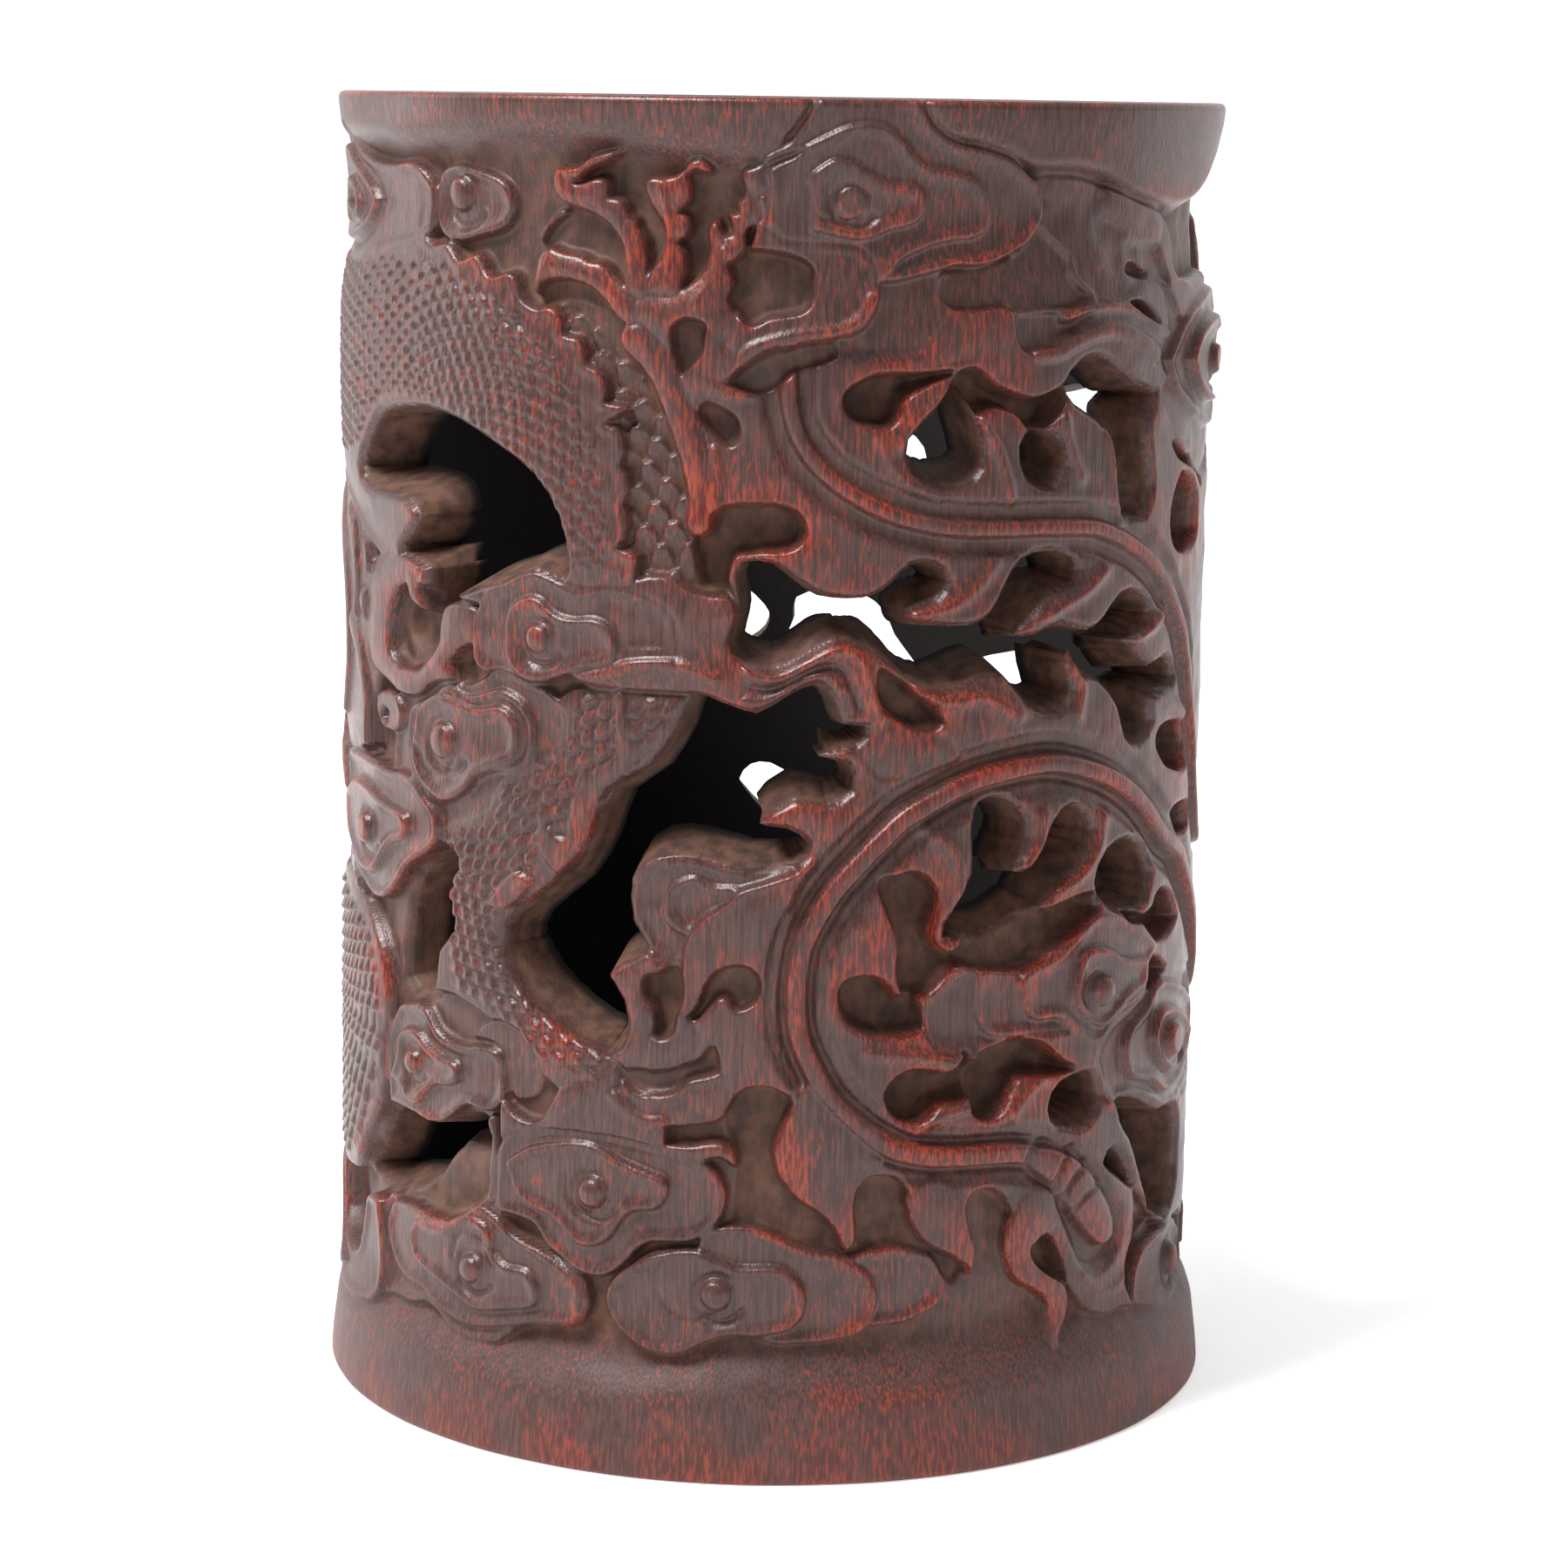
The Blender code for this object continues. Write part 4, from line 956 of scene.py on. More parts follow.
def feather_ribs(relief):
    """The two long curling ribs, each between its grooves, and the banded tip of the lower one."""
    upper = [
        (1.6, 124.5), (1.4, 121), (1.8, 117.5), (3.2, 114), (6.5, 110.6), (11, 108), (15.5, 106.3),
        (21, 105.2), (27, 104.8), (34, 104.7), (40, 104.5), (44, 104.2), (48, 103.2), (52, 101.8),
        (56, 99.9), (60, 97.3), (63, 94.8), (66, 91.8), (69, 87.8), (72, 82), (75, 75), (79, 68.5),
        (85, 64.5), (92, 65.5), (98, 69)]
    relief.strap(upper, (5.5, 5.5), FEATHER_LEVEL - 0.35, edge=1.2, dome=0)
    relief.strap(upper, (1.9, 1.9), -0.1, edge=0.5, dome=0.4)
    lower = [
        (100, 44), (92, 45.5), (85, 50), (80, 55), (75, 59.5), (71, 63), (68, 65.4), (62, 68), (56, 72.3),
        (50, 75.5), (42, 78), (36, 78.8), (28, 78), (24, 77), (20, 75.4), (17, 74), (13.8, 71.5),
        (10.8, 68.8), (8, 66), (6, 63.2), (4.4, 60.4), (3.7, 57.5), (3.5, 54), (3.8, 50.8), (4.8, 48.2),
        (6, 46), (8, 43), (11.5, 40), (15, 37.8), (18, 36.7), (22, 36), (28, 35.7), (33, 35.4), (38, 34.4),
        (40.5, 33.2)]
    relief.strap(lower, (7.0, 6.5), FEATHER_LEVEL - 0.3, edge=1.5, dome=0)
    relief.strap(lower, (4.2, 4.0), FEATHER_LEVEL - 0.75, edge=0.7, dome=0)
    relief.strap(lower, (2.3, 2.5), 0.05, edge=0.5, dome=0.55)
    relief.rib([
        (2, 69.5), (2.6, 64), (1.6, 58), (0.8, 52), (1.6, 47), (4, 43), (9, 38.5), (16, 35)],
        (1.6, 2.0), 0.35)
    relief.strap([
        (38, 34.2), (43.4, 30.8), (46.6, 27.1), (49.4, 23.6)],
        (5.5, 9.0), FEATHER_LEVEL - 0.5, edge=1.6, dome=0)
    relief.strap([
        (38, 34), (43.4, 30.6), (46.4, 27.1), (49.3, 23.9)],
        (4.4, 7.6), FEATHER_LEVEL - 1.0, edge=0.7, dome=0)
    relief.lay([
        (35.7, 35.8), (39.7, 35.1), (44.4, 33), (48.6, 29.3), (51.6, 25.1), (51.8, 22.8), (49.6, 22.1),
        (46.6, 23.8), (43.7, 26.4), (41, 29), (38.4, 31.5), (35.7, 33.4)],
        -0.55, edge=0.5, dome=0.6, reach=0.9)
    tip_grooves = [
        ([(43.2, 34.6), (40.9, 33.3), (39.4, 30.6)], -0.5),
        ([(45.8, 32.6), (42.9, 31.4), (40.9, 28.8)], -0.5),
        ([(48.7, 29.8), (45.2, 29), (42.6, 26.9)], -0.4),
    ]
    for line, rise in tip_grooves:
        relief.rib(line, (0.7, 0.7), rise)


def feather_hollows(relief):
    """Blind teardrop hollows along the feathers."""
    hollows = [
        [(8.3, 118.4), (8.6, 119.4), (10.5, 120.5), (12.5, 121.2), (17.5, 121.3), (21.8, 121.6),
         (16.5, 119.5), (15.5, 118.5), (14.8, 117), (14, 116.1), (12.5, 116), (9.5, 116.8)],
        [(22.8, 121.4), (25, 121.8), (28, 120), (31, 119), (34, 118.5), (38.6, 119.9), (38.2, 117.9),
         (36.6, 116.2), (35.6, 115.6), (33, 115.6), (31, 117.2), (28, 117.9), (25.6, 117.2)],
        [(-10, 104.5), (-8.5, 106), (-6.5, 107), (-3, 107.4), (1, 107.3), (3, 106.3), (3.6, 104.8),
         (3, 103.6), (1.5, 102.9), (-1, 102.7), (-3, 102.4), (-5, 102), (-6, 98.5), (-9, 98.6)],
        [(14, 66), (14.3, 67), (16, 67.3), (18, 67.7), (19.5, 67.2), (20.8, 66), (21.3, 64.5), (21, 62.5),
         (20.8, 60.6), (22.6, 58.6), (26, 59), (23.5, 56.5), (20.5, 54.2), (17.4, 53.8), (16.4, 57),
         (16.5, 59.5), (15.8, 62)],
        [(9, 54.5), (9.5, 55.7), (11, 56.3), (13, 56.3), (14.5, 55.7), (16.3, 54), (19.2, 54), (19.9, 51),
         (19.5, 50.2), (17, 49.8), (14, 50), (12, 50.5), (10.3, 51.5), (9.3, 53)],
        [(15.2, 43), (15.8, 44.3), (17, 45.2), (18.5, 45.6), (20.5, 45.5), (24, 45.1), (26, 47.2),
         (27, 45), (26.6, 43), (25, 42.2), (22, 42), (20, 40.2), (18, 40.2), (16.3, 41)],
        [(26.7, 43), (27, 45), (27.5, 46.6), (29, 47), (34, 47.8), (37, 47.3), (39, 46.2), (41, 44.8),
         (43.5, 43.6), (38, 43.6), (34, 43.9), (32.5, 42.3), (30.5, 39.9), (28.5, 39.7), (26.8, 41)],
        [(57, 59), (60, 59.7), (61, 60.8), (62.5, 61.4), (64.5, 61), (67, 59.8), (69, 57.4), (65, 55.8),
         (61, 56.3), (58.5, 58)],
        [(60.5, 79), (61.5, 80.2), (66, 80.4), (69, 79.6), (71.5, 77.6), (70, 75), (65, 75.6), (62, 77)],
        [(66, 70.4), (68, 70.6), (73, 70), (74, 67.5), (71, 67)],
        [(62, 104.6), (62.6, 102), (65, 100.4), (70, 100.2), (74, 102), (73, 106), (66, 109), (63, 107)],
        [(62, 112.6), (66, 111), (73, 110), (76, 107), (72, 109), (64, 111)],
    ]
    for outline in hollows:
        relief.pocket(outline)
    relief.pocket([(52.6, 60.2), (54, 59.2), (57.2, 58.6), (57, 59.4), (54.5, 60)], -4.0, 0.5)
    relief.pocket([
        (33, 61.5), (38, 62.3), (46, 63.3), (47, 61.6), (43, 59.6), (38, 57.4), (34, 56), (26, 57),
        (23, 58), (26, 60)], -4.4)
    relief.pocket([
        (13.4, 90), (13.3, 87.4), (14, 86), (16, 84.5), (18, 83.6), (20.5, 83.4), (21.4, 84.2),
        (20.4, 85.6), (18, 87), (16.6, 88.4)], -4.2)
    relief.pocket([(58.3, 53), (61, 53.9), (65, 52), (60.5, 50.4), (58.6, 51.3)], -3.8, 0.6)


def feather_edges(relief):
    """Crests along the flames of the feathers, where the varnish is worn red."""
    crests = [
        [(17.5, 95.8), (22, 96.6), (25.5, 98.6), (28, 101.2)],
        [(35, 94.6), (39, 96), (43, 97.5), (46, 99.5)],
        [(52, 91.6), (57, 92.2), (60.5, 94)],
        [(18, 88), (22, 86.3), (27, 86.6), (32, 84.4)],
        [(40.8, 89), (42.3, 86.8), (41.6, 84)],
        [(59, 84.3), (63, 83), (68, 81.5)],
        [(23, 61.5), (24.4, 66), (23, 70), (19, 73)],
        [(34, 67.8), (36, 70), (36.5, 73)],
        [(39, 64.2), (43, 65.6), (46.2, 68.5), (47, 72)],
        [(24, 46.4), (19, 47.4), (13, 48)],
        [(26, 41.2), (22, 40.6), (19, 39)],
        [(40, 44.4), (36, 42.7), (32.6, 40)],
        [(26, 116.2), (28, 113.5), (29.5, 110), (30, 107.5)],
        [(38.2, 116.5), (39, 113.5), (41, 110)],
        [(46, 114.8), (47.5, 110), (50, 104.8)],
        [(21, 119.6), (18, 117.2), (15.5, 114)],
    ]
    for line in crests:
        relief.rib(line, (1.2, 2.2), 0.55)
    barbs = [
        [(5, 122.5), (5.2, 117), (8.5, 112.5)],
        [(8.6, 123.6), (8, 119)],
        [(12, 124), (11.5, 121.8)],
        [(12.5, 115), (15, 111), (20, 108)],
    ]
    for line in barbs:
        relief.rib(line, (1.6, 1.6), 0.25)


def head(relief):
    """The phoenix's crest loops, face, eye and beak."""
    relief.lay([
        (-18.1, 64.5), (-17.6, 66), (-16.3, 67.3), (-14.6, 68.4), (-12.3, 69.1), (-10.3, 69.2),
        (-7.6, 68.8), (-5, 68.2), (-2.7, 68), (3, 68.8), (6, 66), (0, 58), (-10.6, 57), (-12.2, 57.3),
        (-14.4, 58.2), (-16, 59.4), (-16.9, 60.7), (-17.7, 62.4)], -2.0, edge=0.5, lip=0.45)
    relief.lay([
        (-3.9, 66.3), (-6.6, 66.3), (-8, 66.8), (-9.3, 67.3), (-10.8, 67), (-12.3, 66.2), (-13.2, 64.8),
        (-13.4, 63.2), (-12.7, 61.8), (-11.7, 61.1), (-10.2, 60.6), (-4, 60), (0, 63)],
        -1.75, edge=0.4, lip=0.4)
    face_edge = [
        (5.3, 69.2), (3.4, 68.2), (1, 67.4), (-1.4, 66.7), (-3.4, 66.1), (-4.6, 65), (-6.3, 63.8),
        (-7.7, 63), (-8.7, 62), (-9.7, 60.8), (-10.2, 59.7), (-10.5, 57.9), (-10.1, 55.5), (-10.1, 53.5),
        (-10.8, 51.7)]
    relief.lay(face_edge + [
        (-11.3, 49.9), (-12, 47.6), (-9, 47.2), (-7.4, 48.4), (-6.4, 48.9), (-5.8, 47.4), (-5.4, 45.6),
        (-3.8, 43.4), (0, 44), (2.5, 43.6), (4, 45), (2, 50), (2.4, 58), (4.6, 63.3), (8, 67)],
        -0.45, edge=0.5, dome=0.3)
    relief.rib(face_edge, (1.5, 1.3), 0.4)
    relief.lay([
        (-21.1, 56), (-19.6, 57.5), (-18.6, 57.4), (-16.2, 57.1), (-13.7, 56.6), (-15.3, 55.8),
        (-15.7, 54.8), (-15.2, 53), (-14.1, 52), (-13.8, 50.6), (-14.7, 49.3), (-15, 47.5), (-16, 46),
        (-19.4, 46.2), (-20.3, 47.3), (-18.6, 48.4), (-18, 50.4), (-18.5, 52.3), (-19.1, 54.1)],
        -0.9, edge=0.5, dome=0.5)
    relief.pocket([
        (-15.4, 55.9), (-13.7, 56.3), (-12.2, 57.1), (-10.9, 56.6), (-10.7, 54.6), (-11.1, 52.8),
        (-11.7, 51.5), (-12, 50.1), (-13.1, 49.4), (-14.2, 49.8), (-13.9, 50.8), (-14.2, 52.4),
        (-15.2, 53.4), (-15.6, 54.6)], -3.6, 1.0)
    relief.lay([
        (-14.6, 49.2), (-12.6, 49.3), (-11.2, 50), (-10, 52), (-8.9, 51.4), (-8, 50), (-8.4, 48),
        (-10, 46.9), (-12, 46.2), (-15, 46)], -0.6, edge=0.5, dome=0.4)
    relief.pocket([
        (-9.8, 52), (-8.7, 53), (-8.1, 54.3), (-7.6, 55.6), (-6.4, 57), (-4.7, 57.7), (-2.8, 57.7),
        (-1.4, 56.9), (-0.9, 55.6), (-1.2, 54.3), (-2.4, 53.4), (-3.9, 53.1), (-4.8, 54.2), (-5.9, 54.3),
        (-6.9, 53.4), (-7.9, 52.4), (-8.8, 51.7)], -2.7, 0.6)
    relief.pocket([
        (-18.5, 45.4), (-17.4, 44), (-15.3, 43.1), (-12.8, 43.1), (-11, 43.7), (-9.7, 44.9), (-7.5, 45.5),
        (-5.9, 46), (-6, 47.5), (-6.6, 48.8), (-7.4, 48.2), (-8.3, 47.2), (-10, 46.5), (-12, 45.9),
        (-14.3, 45.6), (-16.1, 45.8)], -2.4, 0.6)
    jaw_top = [
        (-18.6, 44.9), (-17.4, 43.6), (-15.3, 42.8), (-12.7, 42.7), (-10.7, 43.4), (-9.5, 44.5),
        (-7.5, 44.9), (-6, 45.4)]
    relief.lay(jaw_top + [
        (-4.6, 44), (-5, 41.6), (-7, 40.2), (-10, 39.6), (-13, 39.5), (-16.1, 40.3), (-17.9, 41),
        (-19.2, 42.4)], -0.8, edge=0.5, dome=0.5)
    relief.rib(jaw_top, (0.8, 1.0), 0.5)
    relief.lay([
        (-1.6, 73.4), (0, 74.5), (2, 75.7), (4, 76.2), (8, 75.5), (10, 75.6), (12, 78), (14, 76), (10, 72),
        (5, 70), (4.8, 71.5), (4, 72.5), (2.5, 72.8), (-0.5, 72.6)], -0.7, edge=0.5, dome=0.4)
    relief.strap([(5, 80.9), (8, 81.1), (10.2, 82), (12, 83.3)], (1.2, 2.6), -0.5)
    relief.strap([(12, 83), (11.6, 85.4), (9.6, 88), (8, 89)], (2.4, 1.4), -0.6)
    relief.rib([(6.5, 60), (5.2, 64.5), (8.6, 69)], (1.4, 1.4), -0.3)


def tail_rib(relief):
    """The curling double rib under the plume gap."""
    relief.lay([
        (-6, 92), (-4, 91), (-2, 90.3), (0, 90), (2, 90.5), (4, 91.8), (6, 92.8), (8, 93.3), (10, 93.3),
        (11.5, 92.5), (12.5, 91), (13.2, 89), (13.3, 87.2), (14, 85.6), (17, 83.4), (22, 82.6), (24, 80),
        (14, 78), (10, 82), (12, 83.4), (10, 85), (8.6, 84.3), (8, 85.5), (7.7, 87), (7, 88), (6, 88.4),
        (4, 88.2), (2, 87.2), (0, 85.8), (-2, 85.2), (-4, 85.5), (-6, 86.4)], -0.9, edge=0.6, dome=0.3)
    relief.rib([
        (-6, 90.6), (-2, 89.4), (1, 89.2), (5, 91), (8.6, 92.2), (11.2, 90.8), (12.3, 87.6), (13.6, 84.8)],
        (1.2, 1.4), 0.6)
    relief.rib([
        (-5, 88.6), (-1, 87.8), (2, 88.6), (5, 90), (8, 90.3), (9.6, 88.6), (11, 85.6)], (1.0, 1.0), -0.55)
    relief.rib([(-5, 87.2), (-2, 86.4), (0.6, 87), (3.4, 88.9), (6.4, 89.4), (8.6, 87.8)], (1.2, 1.2), 0.45)


def leaves(relief):
    """Leaf-shaped flames and hollows along the foot, right of the middle."""
    relief.lay([
        (-4, 29), (0, 28.7), (3, 27.5), (8, 26), (9.5, 27), (8, 28.8), (6, 30.2), (4, 31.5), (2.2, 33.3),
        (1.3, 35), (1.1, 37), (1.5, 39), (3, 42.5), (2, 43.6), (0, 44.3), (-2.5, 44), (-3.8, 43), (-5, 40),
        (-3.5, 37)], -3.2, edge=0.7, dome=-0.3)
    relief.lay([
        (0.9, 37), (1.4, 35), (2.4, 33.4), (4, 31.7), (7, 30), (9, 28), (9.8, 26.3), (10.5, 25.7),
        (11.3, 26.5), (11.7, 28), (11.5, 30), (12, 33), (15, 36), (9, 41), (5, 45), (2.5, 41)],
        -0.85, edge=0.6, dome=0.4)
    relief.lay([
        (11.5, 30), (11.6, 32.2), (12.4, 33.3), (13.5, 33.9), (15.5, 33.9), (17, 33.5), (18, 32.2),
        (18.4, 29.4), (19.2, 27.8), (20.5, 26.4), (15, 25.9), (12.3, 26), (11.8, 28)],
        -3.0, edge=0.7, dome=-0.2)
    relief.lay([(22, 25), (24.3, 24.8), (26, 24), (26.9, 22.4), (25.5, 20.8), (24, 22)], -3.3, edge=0.6)
    relief.lay([
        (18.2, 32), (18.4, 29.6), (19.2, 28), (20.5, 26.4), (24, 24.5), (26.5, 23), (27.5, 21.6),
        (28.3, 23), (28, 25), (27, 27.5), (26.5, 31), (22, 33.5)], -0.85, edge=0.6, dome=0.4)
    relief.lay([
        (26.5, 30), (28, 31.4), (30, 31.4), (31.5, 30.5), (32.4, 29), (32.2, 27), (31.6, 24.4), (31, 21),
        (27.6, 22.4), (28, 25), (27, 27.4)], -2.7, edge=0.7)
    relief.lay([
        (36, 31), (33.2, 28.4), (32.3, 24.8), (33, 22.5), (34, 20.7), (36, 19.5), (38, 18.5), (39.5, 17),
        (40, 15), (39.8, 13), (41.2, 10.6), (41.7, 13), (43, 15), (43.4, 17), (42.8, 18.8), (41, 19.9),
        (39, 21), (37, 22.7), (36.8, 24), (41, 26), (40, 30)], -0.8, edge=0.6, dome=0.4)
    relief.pocket([
        (37, 23.2), (37.6, 24.3), (39, 24.8), (40.3, 24.3), (41.4, 22.8), (43, 19.8), (40.3, 20.4),
        (38, 22)], -4.4, 0.7)
    relief.rib([(58, 23), (57.4, 20), (55, 17), (50, 16.5), (46, 19)], (1.6, 1.6), 0.3)
    relief.rib([
        (50, 38.6), (54, 36), (56.4, 33.3), (58.4, 30.8), (60.5, 28), (62.5, 25.5), (66.5, 22.3)],
        (1.5, 1.5), 0.6)
    relief.pocket([
        (58.4, 24.2), (57.6, 21.6), (56.7, 18.5), (57.2, 15.8), (58.6, 14.6), (59.6, 18.6), (66, 22)],
        -4.2, 0.7)
    cloud(relief, [(-1.3, [
        (58.4, 13.6), (58.6, 16.5), (60, 18.5), (62, 19.6), (66, 20.2), (74, 20.4), (82, 17), (80, 11),
        (68, 10.8), (62, 12.3)])], (73, 15.6, 2.0, -0.7))


def cloud_far_right(relief):
    """The cloud at the right edge of the photograph, level with the top openings."""
    relief.lay([
        (57, 131.5), (60, 129.5), (64, 126.4), (70, 127), (84, 131), (92, 130), (94, 118), (86, 110),
        (76, 108), (66, 112.5), (61, 115.5), (58, 118), (60.5, 120), (58, 122.5), (60, 126)],
        -1.3, edge=0.6, dome=0.3)
    cloud(relief, [(-0.6, [
        (59, 122), (62, 124.6), (66, 127), (72, 128.6), (80, 129.5), (87, 127.5), (90, 123), (88, 117),
        (80, 113.6), (72, 114.4), (66, 116.4), (61.5, 118.6)]), (0.2, [
        (65, 121.8), (68, 124.6), (74, 126.2), (81, 126), (85, 122), (82, 117.6), (75, 116.4),
        (68.5, 118.4)])], (76.5, 121.3, 1.8, 0.7))


def clouds_right(relief):
    """The clouds inside the big curl and beyond it."""
    cloud(relief, *CLOUDS["curl"])
    cloud(relief, *CLOUDS["right"])


def carve_front(relief):
    """Everything the photograph shows, from the back of the relief to the front."""
    flank(relief)
    dragon_body(relief, *TURNED_END)
    feather_ground(relief)
    head(relief)
    feather_ribs(relief)
    tail_rib(relief)
    clouds_right(relief)
    feather_hollows(relief)
    feather_edges(relief)
    foreleg_band(relief)
    thigh(relief)
    foreleg(relief)
    ribbon(relief)
    cloud_far_right(relief)
    cloud_top(relief)
    loop(relief)
    claw(relief)
    clouds_left(relief)
    hock(relief)
    jaw(relief)
    clouds_foot_middle(relief)
    clouds_foot_left(relief)
    leaves(relief)


def dragon_back(relief):
    """The second dragon's body, which comes down across the back from the end of the arch."""
    line = [
        (160, 119), (170, 119.5), (182, 118), (194, 114), (206, 109), (218, 105), (228, 99), (236, 92),
        (243, 84), (252, 80)]
    relief.strap(line, (17, 12), -0.3, edge=1.6, dome=1.4)
    relief.scales([
        (149, 127), (166, 128), (182, 127), (196, 123), (209, 118), (221, 114), (232, 107), (241, 99),
        (249, 90), (250, 78), (240, 80), (232, 88), (224, 94), (214, 99), (203, 103), (192, 107),
        (180, 110), (166, 111), (150, 111)], [(140, 118)] + line, (2.0, 2.1), 0.95)
    relief.strap([
        (172, 128.5), (182, 128), (194, 124.6), (206, 119.5), (218, 115), (230, 109.5), (240, 102)],
        (3.0, 2.0), -0.9)


def curl_back(relief):
    """The curling rib and its hollows round the openings at the left side."""
    relief.lay([
        (242.6, 76), (243, 60), (244, 46), (250, 38), (258, 35), (262, 30), (285, 28), (289, 60), (284, 78),
        (268, 84), (252, 83)], FEATHER_LEVEL, edge=0.8, dome=0.3)
    rib = [
        (290, 60), (286, 66), (280, 71), (273, 75.4), (265, 78.2), (257, 79.2), (250, 78.2), (245.8, 74.5),
        (243.7, 69), (243.3, 63), (243.7, 56), (245.4, 49), (248.5, 43), (253, 38.4), (258, 36), (265, 35),
        (272, 34), (276, 31)]
    relief.strap(rib, (5.0, 5.0), FEATHER_LEVEL - 0.7, edge=0.8, dome=0)
    relief.strap(rib, (2.3, 2.4), 0.0, edge=0.5, dome=0.55)
    hollows = [
        [(251, 52), (252, 55), (255, 56.4), (258, 55.6), (259, 52), (256.6, 50), (253, 49.8)],
        [(250.4, 45), (252, 47.4), (256, 46.6), (258, 44), (255.4, 41.6), (252, 42.4)],
        [(272, 50), (274, 53), (279, 54), (283, 52), (281, 48.6), (276, 47.6)],
        [(273, 43.4), (277, 45), (282, 43.4), (281, 40.4), (276, 40)],
        [(250, 87.4), (254, 89.6), (259, 89.2), (262, 86.6), (258, 84.6), (253, 84.8)],
        [(266, 88), (270, 90.4), (276, 89), (278, 85.6), (273, 83.8), (268, 85)],
    ]
    for outline in hollows:
        relief.pocket(outline)
    crests = [
        [(248, 57.5), (252, 58.2), (257, 58)],
        [(258.6, 64), (262, 66), (263, 70.4)],
        [(246.6, 64.5), (248.2, 67.5), (247.4, 72)],
        [(259.8, 45), (264, 46.2), (270, 45)],
    ]
    for line in crests:
        relief.rib(line, (1.2, 2.2), 0.55)


# Whole clouds round a knob at (0, 0), for the sides and the back.
WHOLE_CLOUDS = {
    "ruyi": [
        (-1.3, [
            (-12, -1), (-10.5, 3.5), (-6, 5), (-3.5, 8), (1, 9), (5, 7.2), (7.5, 4.5), (12, 4.8), (16, 3),
            (20, 3.6), (24, 1.5), (20, -0.5), (15.5, -2.8), (11, -2.4), (8, -5.5), (3.5, -7.2), (-1, -6.2),
            (-4.5, -7.8), (-8.5, -7), (-11.5, -4.5)]),
        (-0.6, [
            (-8, -0.5), (-6.5, 2.6), (-3.4, 3.2), (-1.6, 5.8), (1.5, 6.2), (4, 4.6), (6, 2), (9.5, 1.6),
            (12, 0.2), (8.8, -1), (6.5, -3), (3, -4.8), (-0.5, -3.8), (-3.5, -5.2), (-6.8, -4)])],
    "long": [
        (-1.4, [
            (-29, -4.3), (-23, -2.3), (-17, -3), (-13, -0.8), (-11, 3.2), (-6.5, 5.4), (-2, 4.8), (1, 6.8),
            (5.5, 6.6), (8.5, 3.8), (9.2, -0.3), (7.4, -4.2), (3, -6.4), (-1.5, -5.6), (-5, -7.2),
            (-10, -6.4), (-15, -6.6), (-22, -5.2)]),
        (-0.7, [
            (-14, -3), (-10, -1.2), (-8, 1.8), (-4.6, 2.8), (-1.6, 2.2), (1, 4.2), (4.2, 3.8), (6, 1.2),
            (5.6, -2), (3, -4), (-1.4, -3.4), (-5, -4.8), (-10, -4.2)])],
    "tall": [
        (-1.4, [
            (-7, -10), (-8.5, -5), (-7, -1), (-8, 3), (-5, 7.5), (0, 9), (5, 7.4), (7.6, 3), (6.4, -1),
            (8.2, -5), (6.5, -10.5), (2.4, -14), (-0.5, -18), (-2, -13.5)]),
        (-0.7, [
            (-4.8, -7), (-5.4, -3), (-4.4, -0.4), (-5, 2.6), (-2.8, 5), (0.5, 5.8), (3.6, 4.4), (4.8, 1.6),
            (4, -1), (4.9, -4.4), (3, -7.6), (0, -9.6), (-2.6, -8.4)])],
}
WHOLE_CLOUD_KNOB = (0, 0, 1.8, 0)

# Where they go: which one, where its knob lands, mirrored if -1, and its size.
BACK_CLOUDS = [
    ("ruyi", (106, 133), 1, 1.0), ("long", (150, 138), 1, 0.9), ("ruyi", (263, 139), 1, 0.65),
    ("long", (128, 95), -1, 1.0), ("ruyi", (110, 85), 1, 0.9),
    ("tall", (145, 97), 1, 0.7), ("ruyi", (172, 96), 1, 0.9), ("tall", (218, 79), 1, 0.8),
    ("ruyi", (138, 64), 1, 1.0), ("long", (158, 66), 1, 0.75), ("long", (200, 69), -1, 1.0),
    ("ruyi", (153, 53), -1, 0.8), ("tall", (132, 46), 1, 0.9), ("ruyi", (112, 38), 1, 0.9),
    ("long", (192, 49), 1, 1.0), ("ruyi", (206, 58), -1, 0.8), ("tall", (184, 38), 1, 0.9),
    ("ruyi", (212, 42), -1, 0.9), ("ruyi", (236, 48), -1, 1.0), ("tall", (142, 31), 1, 0.8),
    ("ruyi", (226, 92), -1, 0.8), ("long", (140, 17.5), 1, 0.9), ("ruyi", (178, 19), -1, 0.8),
    ("ruyi", (221, 18), 1, 0.8), ("long", (262, 19), 1, 0.9),
    ("ruyi", (262, 94), 1, 0.8), ("tall", (216, 30), 1, 0.7)]
SEAM_CLOUDS = [
    ("ruyi", (99, 108), 1, 1.0), ("tall", (97, 86), 1, 0.8), ("ruyi", (103, 60), -1, 0.7),
    ("long", (104, 36), -1, 0.8), ("ruyi", (95, 16.5), 1, 0.75)]


def carve_back(relief):
    """The sides and the back, which no photograph shows, out of the same motifs as the front."""
    relief.move(anchor=(-47, 112), target=(127, 112), flip=-1)
    dragon_body(relief, *SHORT_END)
    relief.move()
    dragon_back(relief)
    curl_back(relief)
    relief.move(anchor=(-12, 128), target=(236, 127))
    foreleg_band(relief)
    claw(relief)
    relief.move(anchor=(8.7, 139.4), target=(196, 137.5), flip=-1)
    cloud_top(relief)
    whole_clouds(relief, BACK_CLOUDS)


def whole_clouds(relief, entries):
    """Put whole clouds where a list says."""
    for name, target, flip, size in entries:
        relief.move(target=target, flip=flip, size=size)
        cloud(relief, WHOLE_CLOUDS[name], WHOLE_CLOUD_KNOB)
    relief.move()


